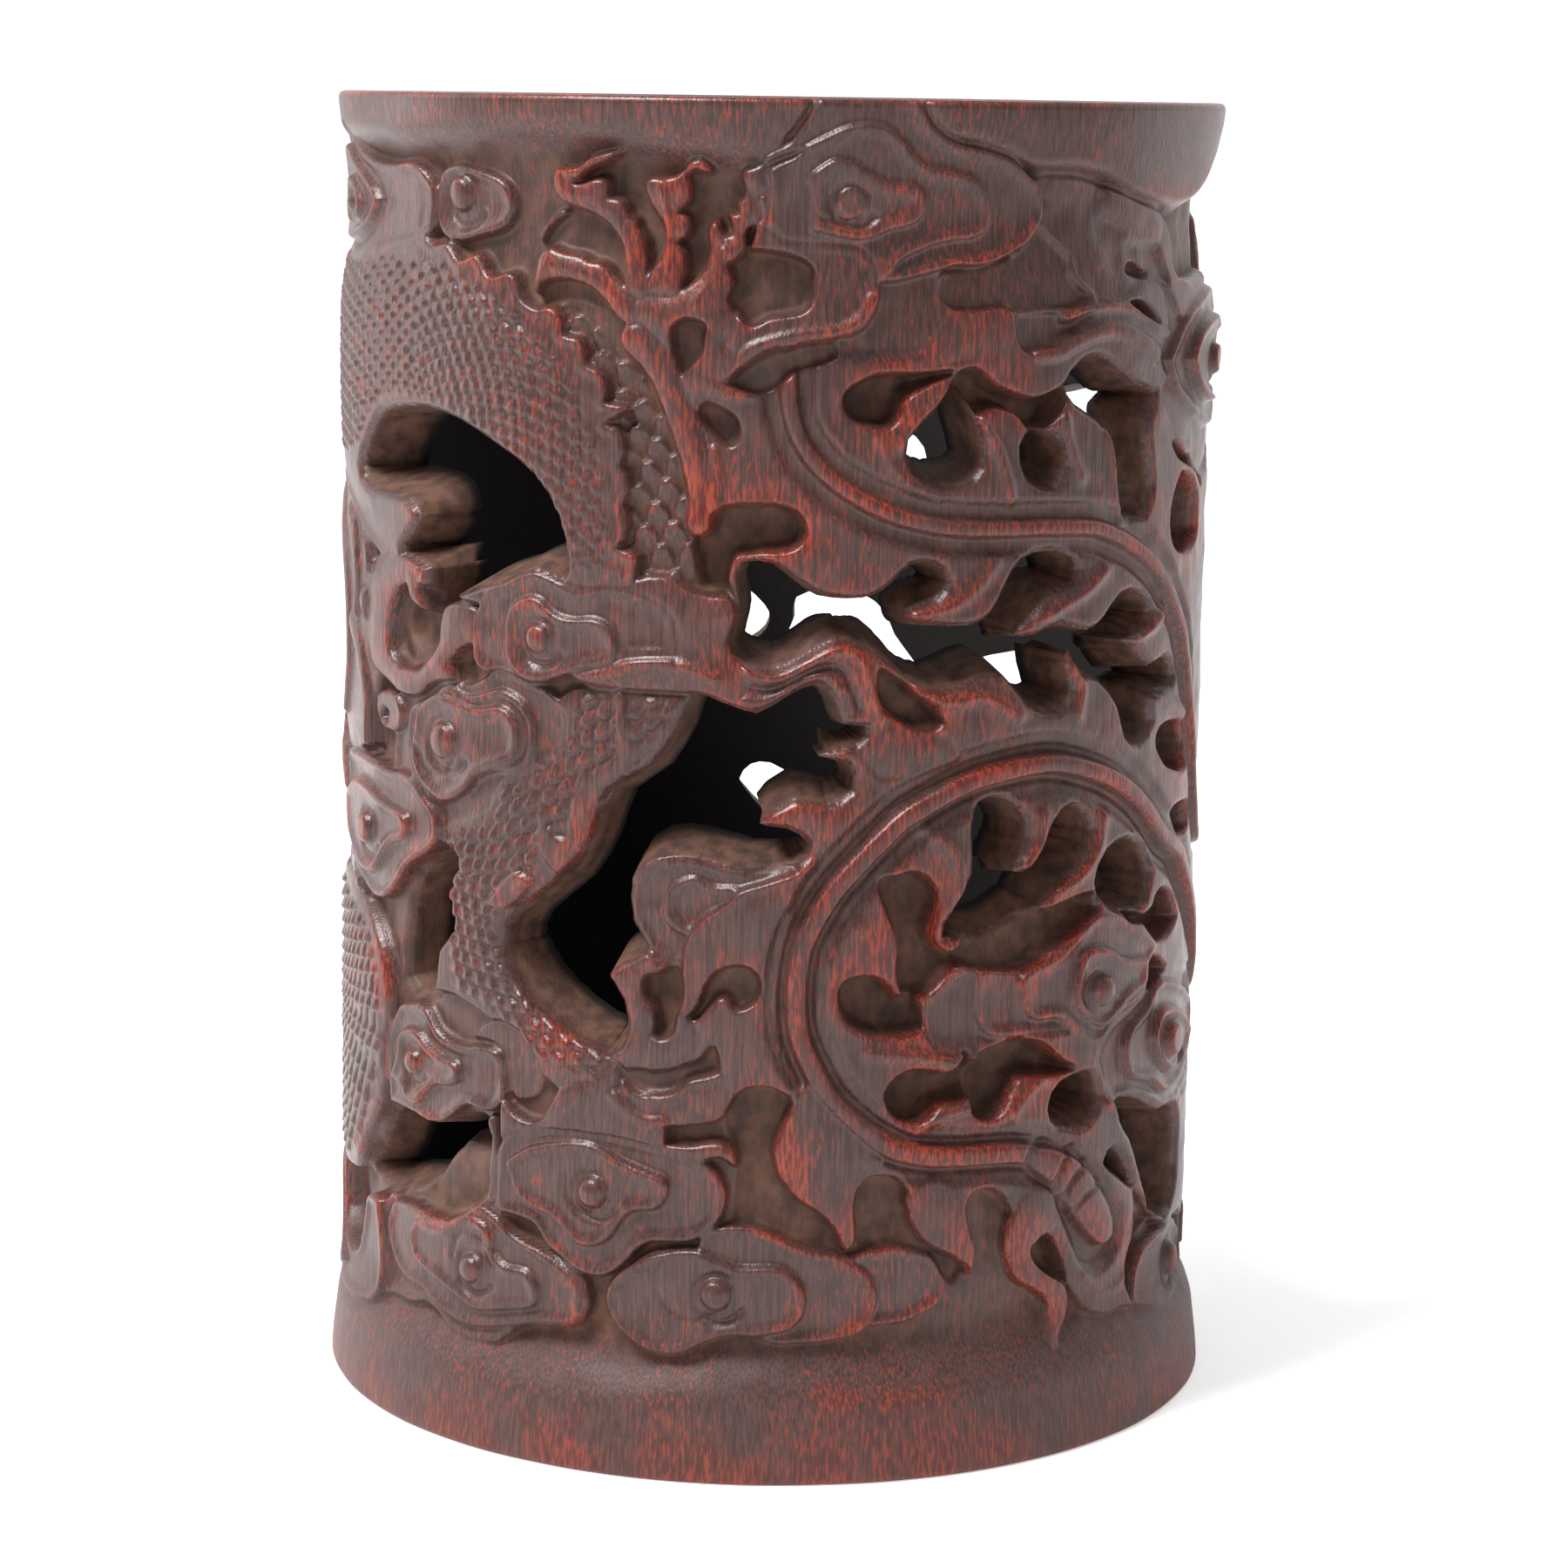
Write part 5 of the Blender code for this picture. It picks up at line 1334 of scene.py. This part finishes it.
def turned_radius(up):
    """Radius of the plain turned surface at a height, with its bends eased."""
    heights, radii = zip(*PROFILE)
    spread = np.linspace(-BEND_EASING, BEND_EASING, 11)
    return np.mean([np.interp(up + s, heights, radii) for s in spread], axis=0)


class Shell:
    """The vertices and faces of the rolled-up wall, gathered block by block."""

    def __init__(self):
        self.blocks, self.count = [], 0
        self.faces, self.sizes, self.wear, self.hollow = [], [], [], []

    def add_points(self, places, wear, hollow):
        """Add points (round in degrees, up, radius) and return the index of the first."""
        turn = np.radians(places[:, 0])
        x, y = places[:, 2] * np.sin(turn), -places[:, 2] * np.cos(turn)
        self.blocks.append(np.stack([x, y, places[:, 1]], 1) * MM)
        self.wear.append(np.broadcast_to(wear, len(places)))
        self.hollow.append(np.broadcast_to(hollow, len(places)))
        first, self.count = self.count, self.count + len(places)
        return first

    def add_quads(self, quads):
        """Add an array of four-cornered faces."""
        self.faces.append(np.asarray(quads).ravel())
        self.sizes.append(np.full(len(quads), 4))

    def add_face(self, corners):
        """Add one face with any number of corners."""
        self.faces.append(np.array(corners))
        self.sizes.append(np.array([len(corners)]))

    def mesh(self, name):
        """The finished mesh, without the points no face uses."""
        points = np.concatenate(self.blocks)
        loops, sizes = np.concatenate(self.faces), np.concatenate(self.sizes)
        used, loops = np.unique(loops, return_inverse=True)
        mesh = bpy.data.meshes.new(name)
        mesh.vertices.add(len(used))
        mesh.vertices.foreach_set("co", points[used].astype(np.float32).ravel())
        mesh.loops.add(len(loops))
        mesh.loops.foreach_set("vertex_index", loops.astype(np.int32))
        mesh.polygons.add(len(sizes))
        starts = np.concatenate([[0], np.cumsum(sizes)[:-1]])
        mesh.polygons.foreach_set("loop_start", starts.astype(np.int32))
        mesh.polygons.foreach_set("use_smooth", np.ones(len(sizes), bool))
        for label, values in (("wear", self.wear), ("hollow", self.hollow)):
            attribute = mesh.attributes.new(label, "FLOAT", "POINT")
            attribute.data.foreach_set("value", np.concatenate(values)[used].astype(np.float32))
        mesh.update(calc_edges=True)
        mesh.validate()
        return mesh


def edge_crossings(clear):
    """Where the holes' outlines cross the grid's lines: {(row, column, way): (row, column) place}."""
    crossings = {}
    for way, neighbour in ((0, np.roll(clear, -1, 1)), (1, np.vstack([clear[1:], clear[-1:]]))):
        for row, column in np.argwhere((clear > 0) != (neighbour > 0)):
            here, there = clear[row, column], neighbour[row, column]
            t = min(max(here / (here - there), 0.08), 0.92)
            crossings[row, column, way] = (row + t * way, column + t * (1 - way))
    return crossings


def cell_outline(clear, crossings, row, column):
    """The solid part of a grid cell the outline crosses: its corners and crossings, in order."""
    right = (column + 1) % COLUMNS
    corners = [(row, column), (row, right), (row + 1, right), (row + 1, column)]
    sides = [(row, column, 0), (row, right, 1), (row + 1, column, 0), (row, column, 1)]
    outline = []
    for corner, side in zip(corners, sides):
        if clear[corner] > 0:
            outline.append(corner)
        if side in crossings:
            outline.append(side)
    return outline


def sampled(field, place):
    """A field at a place between grid points."""
    row, column = place
    low, left = int(row), int(column)
    share = (row - low) + (column - left)
    if row > low:
        return field[low, left] * (1 - share) + field[low + 1, left] * share
    return field[low, left % COLUMNS] * (1 - share) + field[low, (left + 1) % COLUMNS] * share


def tapered(clear, places, shares):
    """The outlines of the holes at each share of the way in: they narrow, most of all from below."""
    field = blurred(clear, 0.3)
    rise = np.gradient(field, STEP_UP, axis=0)
    run = (np.roll(field, -1, 1) - np.roll(field, 1, 1)) / (2 * STEP_ROUND)
    row, column = places.T.copy()
    front = ease(0.5 + 2 * np.cos(column * 2 * math.pi / COLUMNS))
    outlines = {0: (row, column)}
    for step in range(1, TAPER_STEPS + 1):
        here = np.rint(row).astype(int), np.rint(column).astype(int) % COLUMNS
        up, across = rise[here], run[here]
        taper = (WALL_TAPER + FLOOR_TAPER * np.clip(-up, 0, 1)) * front / TAPER_STEPS
        taper = taper * (np.hypot(up, across) > 0.8)
        row, column = row - up * taper / STEP_UP, column - across * taper / STEP_ROUND
        outlines[step] = (row, column)
    return [outlines[round(share * TAPER_STEPS)] for share in shares]


def wear_and_hollow(height):
    """How worn each place of the grid is, and how deep in a hollow, both from 0 to 1; the hollow value later
    colours the place with brown dust and painted shade.
    """
    fine, broad = height - blurred(height, 0.5), height - blurred(height, 3.0)
    wear = np.clip(ease(fine * 2.5) * 0.25 + ease(broad * 0.8 + 0.15) * 0.8, 0, 1)
    # The hollow value lays brown dust and painted shade: most in deep recesses and in creases lower than
    # their surroundings.
    deep = ease((-height - 1.9) / 1.6)
    hollow = np.clip(deep * 0.8 + ease((blurred(height, 2.0) - height) / 1.2) * 0.7, 0, 1)
    right = ease((np.sin(np.radians(ROUND)) + 0.3) / 0.6)
    return wear * (0.62 + 0.38 * right), hollow


def cell_corners(rows, columns):
    """The indices of the four corners of grid cells, in order round each cell."""
    right = (columns + 1) % COLUMNS
    return np.stack([rows * COLUMNS + columns, rows * COLUMNS + right,
                     (rows + 1) * COLUMNS + right, (rows + 1) * COLUMNS + columns], 1)


def add_hole_rings(shell, clear, crossings, radius, wear):
    """Rings of points down the walls of the holes: for each ring, {crossing: index of its point}."""
    keys = list(crossings)
    places = np.array([crossings[key] for key in keys])
    edge_radius = np.array([sampled(radius, place) for place in places])
    edge_wear = np.array([sampled(wear, place) for place in places])
    rings = []
    for share, (row, column) in zip(WALL_SHARES, tapered(clear, places, WALL_SHARES)):
        ring_radius = edge_radius + (BORE_RADIUS - edge_radius) * share
        # Down the holes the hollow value is full, so brown dust and painted shade colour the walls.
        first = shell.add_points(
            np.stack([column * 360 / COLUMNS, row * STEP_UP, ring_radius], 1),
            edge_wear if share == 0 else 0.0, 0.5 if share == 0 else 1.0)
        rings.append({key: first + i for i, key in enumerate(keys)})
    return rings


def add_hole_cell(shell, outline, rings, outside, bore):
    """The faces of one cell that a hole's outline crosses: outside, in the bore, and down the hole."""
    for ring, first, way in ((rings[0], outside, 1), (rings[-1], bore, -1)):
        corners = [ring[p] if len(p) == 3 else first + p[0] * COLUMNS + p[1] for p in outline]
        shell.add_face(corners[::way])
    for i, point in enumerate(outline):
        after = outline[(i + 1) % len(outline)]
        if len(point) == 3 and len(after) == 3:
            for outer, inner in zip(rings, rings[1:]):
                shell.add_face([outer[after], outer[point], inner[point], inner[after]])


def roll_up(relief):
    """Turn the carved grid into one closed mesh: outside, holes, rim, bore and rabbet."""
    height, clear = relief.height, relief.clear
    wear, hollow = wear_and_hollow(height)
    radius = np.minimum(turned_radius(UP)[:, None] + height, LARGEST_RADIUS)
    shell = Shell()
    grid_round, grid_up = np.meshgrid(ROUND, UP)
    outside = shell.add_points(
        np.stack([grid_round, grid_up, radius], -1).reshape(-1, 3), wear.ravel(), hollow.ravel())
    bore = shell.add_points(
        np.stack([grid_round, grid_up, np.full_like(radius, BORE_RADIUS)], -1).reshape(-1, 3), 0.0, 0.6)
    crossings = edge_crossings(clear)
    rings = add_hole_rings(shell, clear, crossings, radius, wear)

    solid = clear > 0
    wide = np.hstack([solid, solid[:, :1]])
    corners = wide[:-1, :-1], wide[1:, :-1], wide[:-1, 1:], wide[1:, 1:]
    full, some = np.all(corners, 0), np.any(corners, 0)
    rows, columns = np.nonzero(full[LOW_ROW:HIGH_ROW])
    shell.add_quads(cell_corners(rows + LOW_ROW, columns) + outside)
    partly = some[SHOULDER_ROW:MOUTH_ROW] & ~full[SHOULDER_ROW:MOUTH_ROW]
    for row, column in np.argwhere(partly) + [SHOULDER_ROW, 0]:
        add_hole_cell(shell, cell_outline(clear, crossings, row, column), rings, outside, bore)
    add_bore(shell, full, bore)
    add_ends(shell, radius, outside, bore)
    return shell.mesh("carved_wall")


def add_bore(shell, full, first):
    """The bore's surface, in large faces wherever no hole is near."""
    across = COLUMNS // BLOCK_COLUMNS
    plain = {}
    for number, row in enumerate(range(SHOULDER_ROW, MOUTH_ROW, BLOCK_ROWS)):
        for part in range(across):
            block = full[row:row + BLOCK_ROWS, part * BLOCK_COLUMNS:(part + 1) * BLOCK_COLUMNS]
            plain[number, part] = bool(block.all())
    for (number, part), is_plain in plain.items():
        row, column = SHOULDER_ROW + number * BLOCK_ROWS, part * BLOCK_COLUMNS
        if not is_plain:
            rows, columns = np.nonzero(full[row:row + BLOCK_ROWS, column:column + BLOCK_COLUMNS])
            shell.add_quads(cell_corners(row + rows, column + columns)[:, [0, 3, 2, 1]] + first)
            continue
        top, last = row + BLOCK_ROWS, column + BLOCK_COLUMNS
        sides = [
            ([(row, c) for c in range(column, last)], plain.get((number - 1, part))),
            ([(r, last) for r in range(row, top)], plain.get((number, (part + 1) % across))),
            ([(top, c) for c in range(last, column, -1)], plain.get((number + 1, part))),
            ([(r, column) for r in range(top, row, -1)], plain.get((number, (part - 1) % across)))]
        corners = []
        for side, neighbour_plain in sides:
            corners += side[:1] if neighbour_plain else side
        shell.add_face([first + r * COLUMNS + c % COLUMNS for r, c in reversed(corners)])


def rounded_edge(radius, up, way):
    """Rings round an outer edge, from the side towards the end: (height, radius)."""
    turns = [math.radians(turn) for turn in (30, 60, 90)]
    return [(up + way * EDGE_ROUNDING * math.sin(turn),
             radius - EDGE_ROUNDING + EDGE_ROUNDING * math.cos(turn)) for turn in turns]


def flat_ring(up, radius):
    """A ring with the same radius all round."""
    return up, np.full(COLUMNS, radius)


def add_ends(shell, radius, outside, bore):
    """Close the wall over the rim and under the foot."""
    rim = [(ring, 0.6) for ring in rounded_edge(radius[HIGH_ROW], TOP - EDGE_ROUNDING, 1)]
    rim += [(flat_ring(TOP, MOUTH_FLAT), 0.3), (flat_ring(TOP - 0.1, BORE_RADIUS + 1.0), 0.3),
            (flat_ring(TOP - 0.6, BORE_RADIUS + 0.3), 0.3)]
    foot = [(ring, 0.8) for ring in rounded_edge(radius[LOW_ROW], EDGE_ROUNDING, -1)]
    foot += [(flat_ring(0.0, RABBET_RADIUS), 0.0), (flat_ring(SHOULDER, RABBET_RADIUS), 0.0)]
    column = np.arange(COLUMNS)
    right = (column + 1) % COLUMNS
    for rings, start, end, way in (
            (rim, outside + HIGH_ROW * COLUMNS, bore + MOUTH_ROW * COLUMNS, 1),
            (foot, outside + LOW_ROW * COLUMNS, bore + SHOULDER_ROW * COLUMNS, -1)):
        firsts = [start]
        for (up, ring_radius), wear in rings:
            places = np.stack([ROUND, np.full(COLUMNS, up), ring_radius], 1)
            firsts.append(shell.add_points(places, wear, 0.0))
        firsts.append(end)
        for here, there in zip(firsts, firsts[1:]):
            quads = np.stack([here + column, here + right, there + right, there + column], 1)
            shell.add_quads(quads[:, ::way])


def add_object(name, data):
    """An object with that mesh, light or camera, in the scene."""
    item = bpy.data.objects.new(name, data)
    bpy.context.scene.collection.objects.link(item)
    return item


def plain_mesh(name, points, faces):
    """A smooth-shaded mesh from lists."""
    mesh = bpy.data.meshes.new(name)
    mesh.from_pydata(points, [], faces)
    for polygon in mesh.polygons:
        polygon.use_smooth = True
    return mesh


def build_wall():
    """Carve the wall and put it in the scene."""
    relief = Relief()
    bands(relief)
    carve_back(relief)
    carve_front(relief)
    whole_clouds(relief, SEAM_CLOUDS)
    relief.hand_work()
    for points in {**FRONT_OPENINGS, **BACK_OPENINGS}.values():
        relief.open(points)
    np.minimum(relief.height, HIGHEST, out=relief.height)
    return add_object("carved_wall", roll_up(relief))


def build_floor_disc():
    """The turned disc let into the foot, with fine rings left by the lathe."""
    profile = [(0.0, DISC_TOP - 0.05)]
    for radius in np.arange(1.0, 44.6, 0.5):
        rings = sum(depth * math.sin(radius * rate) for depth, rate in LATHE_RINGS)
        profile.append((radius, DISC_TOP + rings))
    profile += DISC_SIDE
    points, faces = [], []
    for radius, up in profile:
        for k in range(DISC_SEGMENTS if radius else 1):
            turn = 2 * math.pi * k / DISC_SEGMENTS
            points.append((radius * math.cos(turn) * MM, radius * math.sin(turn) * MM, up * MM))
    starts = [0] + [1 + i * DISC_SEGMENTS for i in range(len(profile) - 1)]
    for k in range(DISC_SEGMENTS):
        after = (k + 1) % DISC_SEGMENTS
        faces.append((0, starts[1] + k, starts[1] + after))
        faces.append((starts[-1], starts[-2] + after, starts[-2] + k))
        for a, b in zip(starts[1:-1], starts[2:-1]):
            faces.append((a + k, b + k, b + after, a + after))
    return add_object("floor_disc", plain_mesh("floor_disc", points, faces))


class Nodes:
    """A small helper that adds and joins shader nodes."""

    def __init__(self, name):
        self.material = bpy.data.materials.new(name)
        self.material.use_nodes = True
        self.tree = self.material.node_tree
        self.shader = self.tree.nodes["Principled BSDF"]
        self.place = self.add("ShaderNodeTexCoord").outputs["Object"]

    def add(self, kind, settings=None, inputs=None):
        """Add a node, set its properties, and link or set its inputs."""
        node = self.tree.nodes.new(kind)
        for key, value in (settings or {}).items():
            setattr(node, key, value)
        for key, value in (inputs or {}).items():
            self.put(node.inputs[key], value)
        return node

    def put(self, socket, value):
        """Link a socket to another, or give it a value."""
        if isinstance(value, bpy.types.NodeSocket):
            self.tree.links.new(value, socket)
        else:
            socket.default_value = value

    def math(self, operation, first, second, clamp):
        """The result of a Math node."""
        node = self.add("ShaderNodeMath", {"operation": operation, "use_clamp": clamp},
                        {0: first, 1: second})
        return node.outputs[0]

    def plus(self, first, second, clamp=False):
        """Two values added."""
        return self.math("ADD", first, second, clamp)

    def times(self, first, second, clamp=False):
        """Two values multiplied."""
        return self.math("MULTIPLY", first, second, clamp)

    def noise(self, cycles, detail=3.0, roughness=0.55):
        """Noise with that many cycles a millimetre along x, y and z."""
        scale = [along / MM for along in cycles]
        place = self.add("ShaderNodeMapping", None, {"Vector": self.place, "Scale": scale}).outputs[0]
        node = self.add("ShaderNodeTexNoise", None,
                        {"Vector": place, "Scale": 1.0, "Detail": detail, "Roughness": roughness})
        return node.outputs["Fac"]

    def bump(self, height, depth):
        """Let a height disturb the surface by at most that depth in millimetres."""
        bump = self.add("ShaderNodeBump", None, {"Strength": 0.5, "Distance": depth * MM, "Height": height})
        self.put(self.shader.inputs["Normal"], bump.outputs[0])

    def span(self, value, low, high):
        """Where a value lies between low and high, from 0 to 1."""
        node = self.add("ShaderNodeMapRange", {"interpolation_type": "SMOOTHSTEP"},
                        {"Value": value, "From Min": low, "From Max": high})
        return node.outputs["Result"]

    def mix(self, share, first, second):
        """Two colours mixed."""
        node = self.add("ShaderNodeMix", {"data_type": "RGBA"}, {"Factor": share})
        self.put(node.inputs[6], first)
        self.put(node.inputs[7], second)
        return node.outputs[2]

    def attribute(self, name):
        """A float attribute of the mesh."""
        return self.add("ShaderNodeAttribute", {"attribute_name": name}).outputs["Fac"]


def glaze_and_fibre(n, fibre, patch, mottle):
    """Two colours: brown varnish over a few orange bundles of fibre, and the red of bare fibre."""
    dash = n.noise(DASH_CYCLES, 1.0, 0.5)
    tone = n.plus(n.times(fibre, 0.75), n.times(mottle, 0.25))
    glaze = n.mix(n.span(tone, 0.36, 0.64), GLAZE_DARK, GLAZE)
    bundles = n.times(n.span(dash, 0.56, 0.66), n.span(patch, 0.3, 0.6))
    glaze = n.mix(n.times(bundles, 0.6), glaze, FIBRE_ORANGE)
    return glaze, n.mix(n.span(dash, 0.4, 0.6), FIBRE_RED, FIBRE_ORANGE)


def bareness(n, wear, fibre, patch):
    """How much bare fibre shows, from 0 to 1: streaks, most of all where hands have worn the varnish."""
    streak = n.span(n.plus(fibre, n.times(patch, 0.35)), 0.55, 0.75)
    bare = n.span(n.plus(n.times(wear, 1.1), n.times(patch, 1.5)), 0.95, 1.85)
    return n.times(bare, n.plus(n.times(streak, 0.88), 0.12), clamp=True)


def bamboo_material():
    """Varnished bamboo: red fibres where it is worn, dull brown dust with painted shade in the hollows, and
    painted shade near black inside the bore.
    """
    n = Nodes("carved_bamboo")
    wear, hollow = n.attribute("wear"), n.attribute("hollow")
    fibre = n.noise(FIBRE_CYCLES, 2.0, 0.6)
    patch = n.noise(PATCH_CYCLES, 2.0)
    mottle = n.noise(MOTTLE_CYCLES, 3.0)
    split = n.add("ShaderNodeSeparateXYZ", None, {0: n.place})
    x, y, up = split.outputs
    flat = n.add("ShaderNodeCombineXYZ", None, {0: x, 1: y, 2: 0.0}).outputs[0]
    out = n.add("ShaderNodeVectorMath", {"operation": "LENGTH"}, {0: flat}).outputs["Value"]
    inner = n.span(out, (BORE_RADIUS + 1.8) * MM, (BORE_RADIUS + 0.2) * MM)

    glaze, red = glaze_and_fibre(n, fibre, patch, mottle)
    colour = n.mix(bareness(n, wear, fibre, patch), glaze, red)
    rubbed = n.times(n.span(up, *WORN_EDGE), n.span(patch, 0.3, 0.6))
    colour = n.mix(n.times(rubbed, n.plus(n.times(fibre, 0.8), 0.15)), colour, red)
    # The hollows are coloured with brown dust and painted shade, the more the higher the hollow value.
    dust_and_shade = n.mix(n.span(mottle, 0.3, 0.7), DUST_AND_SHADE_DARK, DUST_AND_SHADE)
    colour = n.mix(n.times(hollow, 0.85), colour, dust_and_shade)
    # Painted shade: near black over the bore and the inner part of the holes' walls.
    n.put(n.shader.inputs["Base Color"], n.mix(inner, colour, BORE_PAINTED_SHADE))

    dull = n.plus(n.times(hollow, 0.42), n.times(mottle, 0.18))
    dull = n.plus(n.plus(dull, VARNISH_ROUGHNESS), n.times(n.span(up, *DULL_BAND), 0.24))
    n.put(n.shader.inputs["Roughness"], n.plus(dull, n.times(inner, 0.3), clamp=True))
    n.bump(n.plus(fibre, n.times(n.noise(GRIT_CYCLES, 2.0), 0.2)), 0.12)
    n.shader.inputs["Specular IOR Level"].default_value = VARNISH_SPECULAR
    return n.material


def disc_material():
    """Dark, dull wood with its grain across the disc."""
    n = Nodes("floor_wood")
    grain = n.noise(WOOD_CYCLES, 4.0)
    dirt = n.noise(DIRT_CYCLES, 3.0)
    wood = n.mix(n.span(grain, 0.35, 0.65), WOOD_DARK, WOOD)
    colour = n.mix(n.times(n.span(dirt, 0.4, 0.7), 0.6), wood, WOOD_DIRT)
    n.put(n.shader.inputs["Base Color"], colour)
    n.put(n.shader.inputs["Roughness"], n.plus(n.times(grain, 0.2), 0.45))
    n.bump(grain, 0.1)
    return n.material


def paper_material():
    """Pale, matt paper that glows a little, as a lit background does."""
    n = Nodes("floor_paper")
    n.put(n.shader.inputs["Base Color"], n.mix(n.noise(PAPER_CYCLES, 2.0), PAPER_DARK, PAPER))
    n.shader.inputs["Roughness"].default_value = 0.9
    n.shader.inputs["Emission Color"].default_value = WHITE
    n.shader.inputs["Emission Strength"].default_value = FLOOR_GLOW
    return n.material


def backdrop():
    """A plain pale floor that sweeps up far behind the pot."""
    line = [(-FLOOR_HALF, 0.0), (FLOOR_BACK, 0.0)]
    for i in range(1, 17):
        angle = math.radians(90 * i / 16)
        line.append((FLOOR_BACK + FLOOR_BEND * math.sin(angle), FLOOR_BEND - FLOOR_BEND * math.cos(angle)))
    line.append((FLOOR_BACK + FLOOR_BEND, FLOOR_RISE))
    points = [(x, y, z) for y, z in line for x in (-FLOOR_HALF, FLOOR_HALF)]
    faces = [(2 * i, 2 * i + 1, 2 * i + 3, 2 * i + 2) for i in range(len(line) - 1)]
    floor = add_object("floor", plain_mesh("floor", points, faces))
    floor.data.materials.append(paper_material())


def sky():
    """An even white light from all round."""
    world = bpy.data.worlds.new("studio")
    world.use_nodes = True
    background = world.node_tree.nodes["Background"]
    background.inputs["Color"].default_value = WHITE
    background.inputs["Strength"].default_value = SKY_STRENGTH
    bpy.context.scene.world = world


def soft_light(name, place, size, watts):
    """A rectangular area light aimed at the middle of the pot."""
    light = bpy.data.lights.new(name, "AREA")
    light.shape = "RECTANGLE"
    light.size, light.size_y = size
    light.energy = watts
    lamp = add_object(name, light)
    lamp.location = place
    aim = [t - p for t, p in zip(LIT_POINT, place)]
    flat = math.hypot(aim[0], aim[1])
    lamp.rotation_euler = (math.atan2(flat, -aim[2]), 0, math.atan2(aim[1], aim[0]) - math.pi / 2)


def camera():
    """The photograph's view: a long lens, a little above the rim."""
    data = bpy.data.cameras.new("camera")
    data.sensor_width = SENSOR
    data.lens = LENS
    eye = add_object("camera", data)
    eye.location = EYE
    eye.rotation_euler = (math.pi / 2 - PITCH, 0, 0)
    bpy.context.view_layer.update()
    eye.matrix_world = eye.matrix_world @ Matrix.Rotation(ROLL, 4, "Z")
    bpy.context.scene.camera = eye


def main():
    """Build the two pieces, the studio round them and the camera."""
    bpy.context.scene.view_settings.view_transform = "Standard"
    wall = build_wall()
    wall.data.materials.append(bamboo_material())
    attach(wall, "root")
    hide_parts("carved_tube")
    disc = build_floor_disc()
    disc.data.materials.append(disc_material())
    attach(disc, "root")
    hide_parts("base_disc")
    backdrop()
    sky()
    for name, (place, size, watts) in LIGHTS.items():
        soft_light(name, place, size, watts)
    camera()


main()
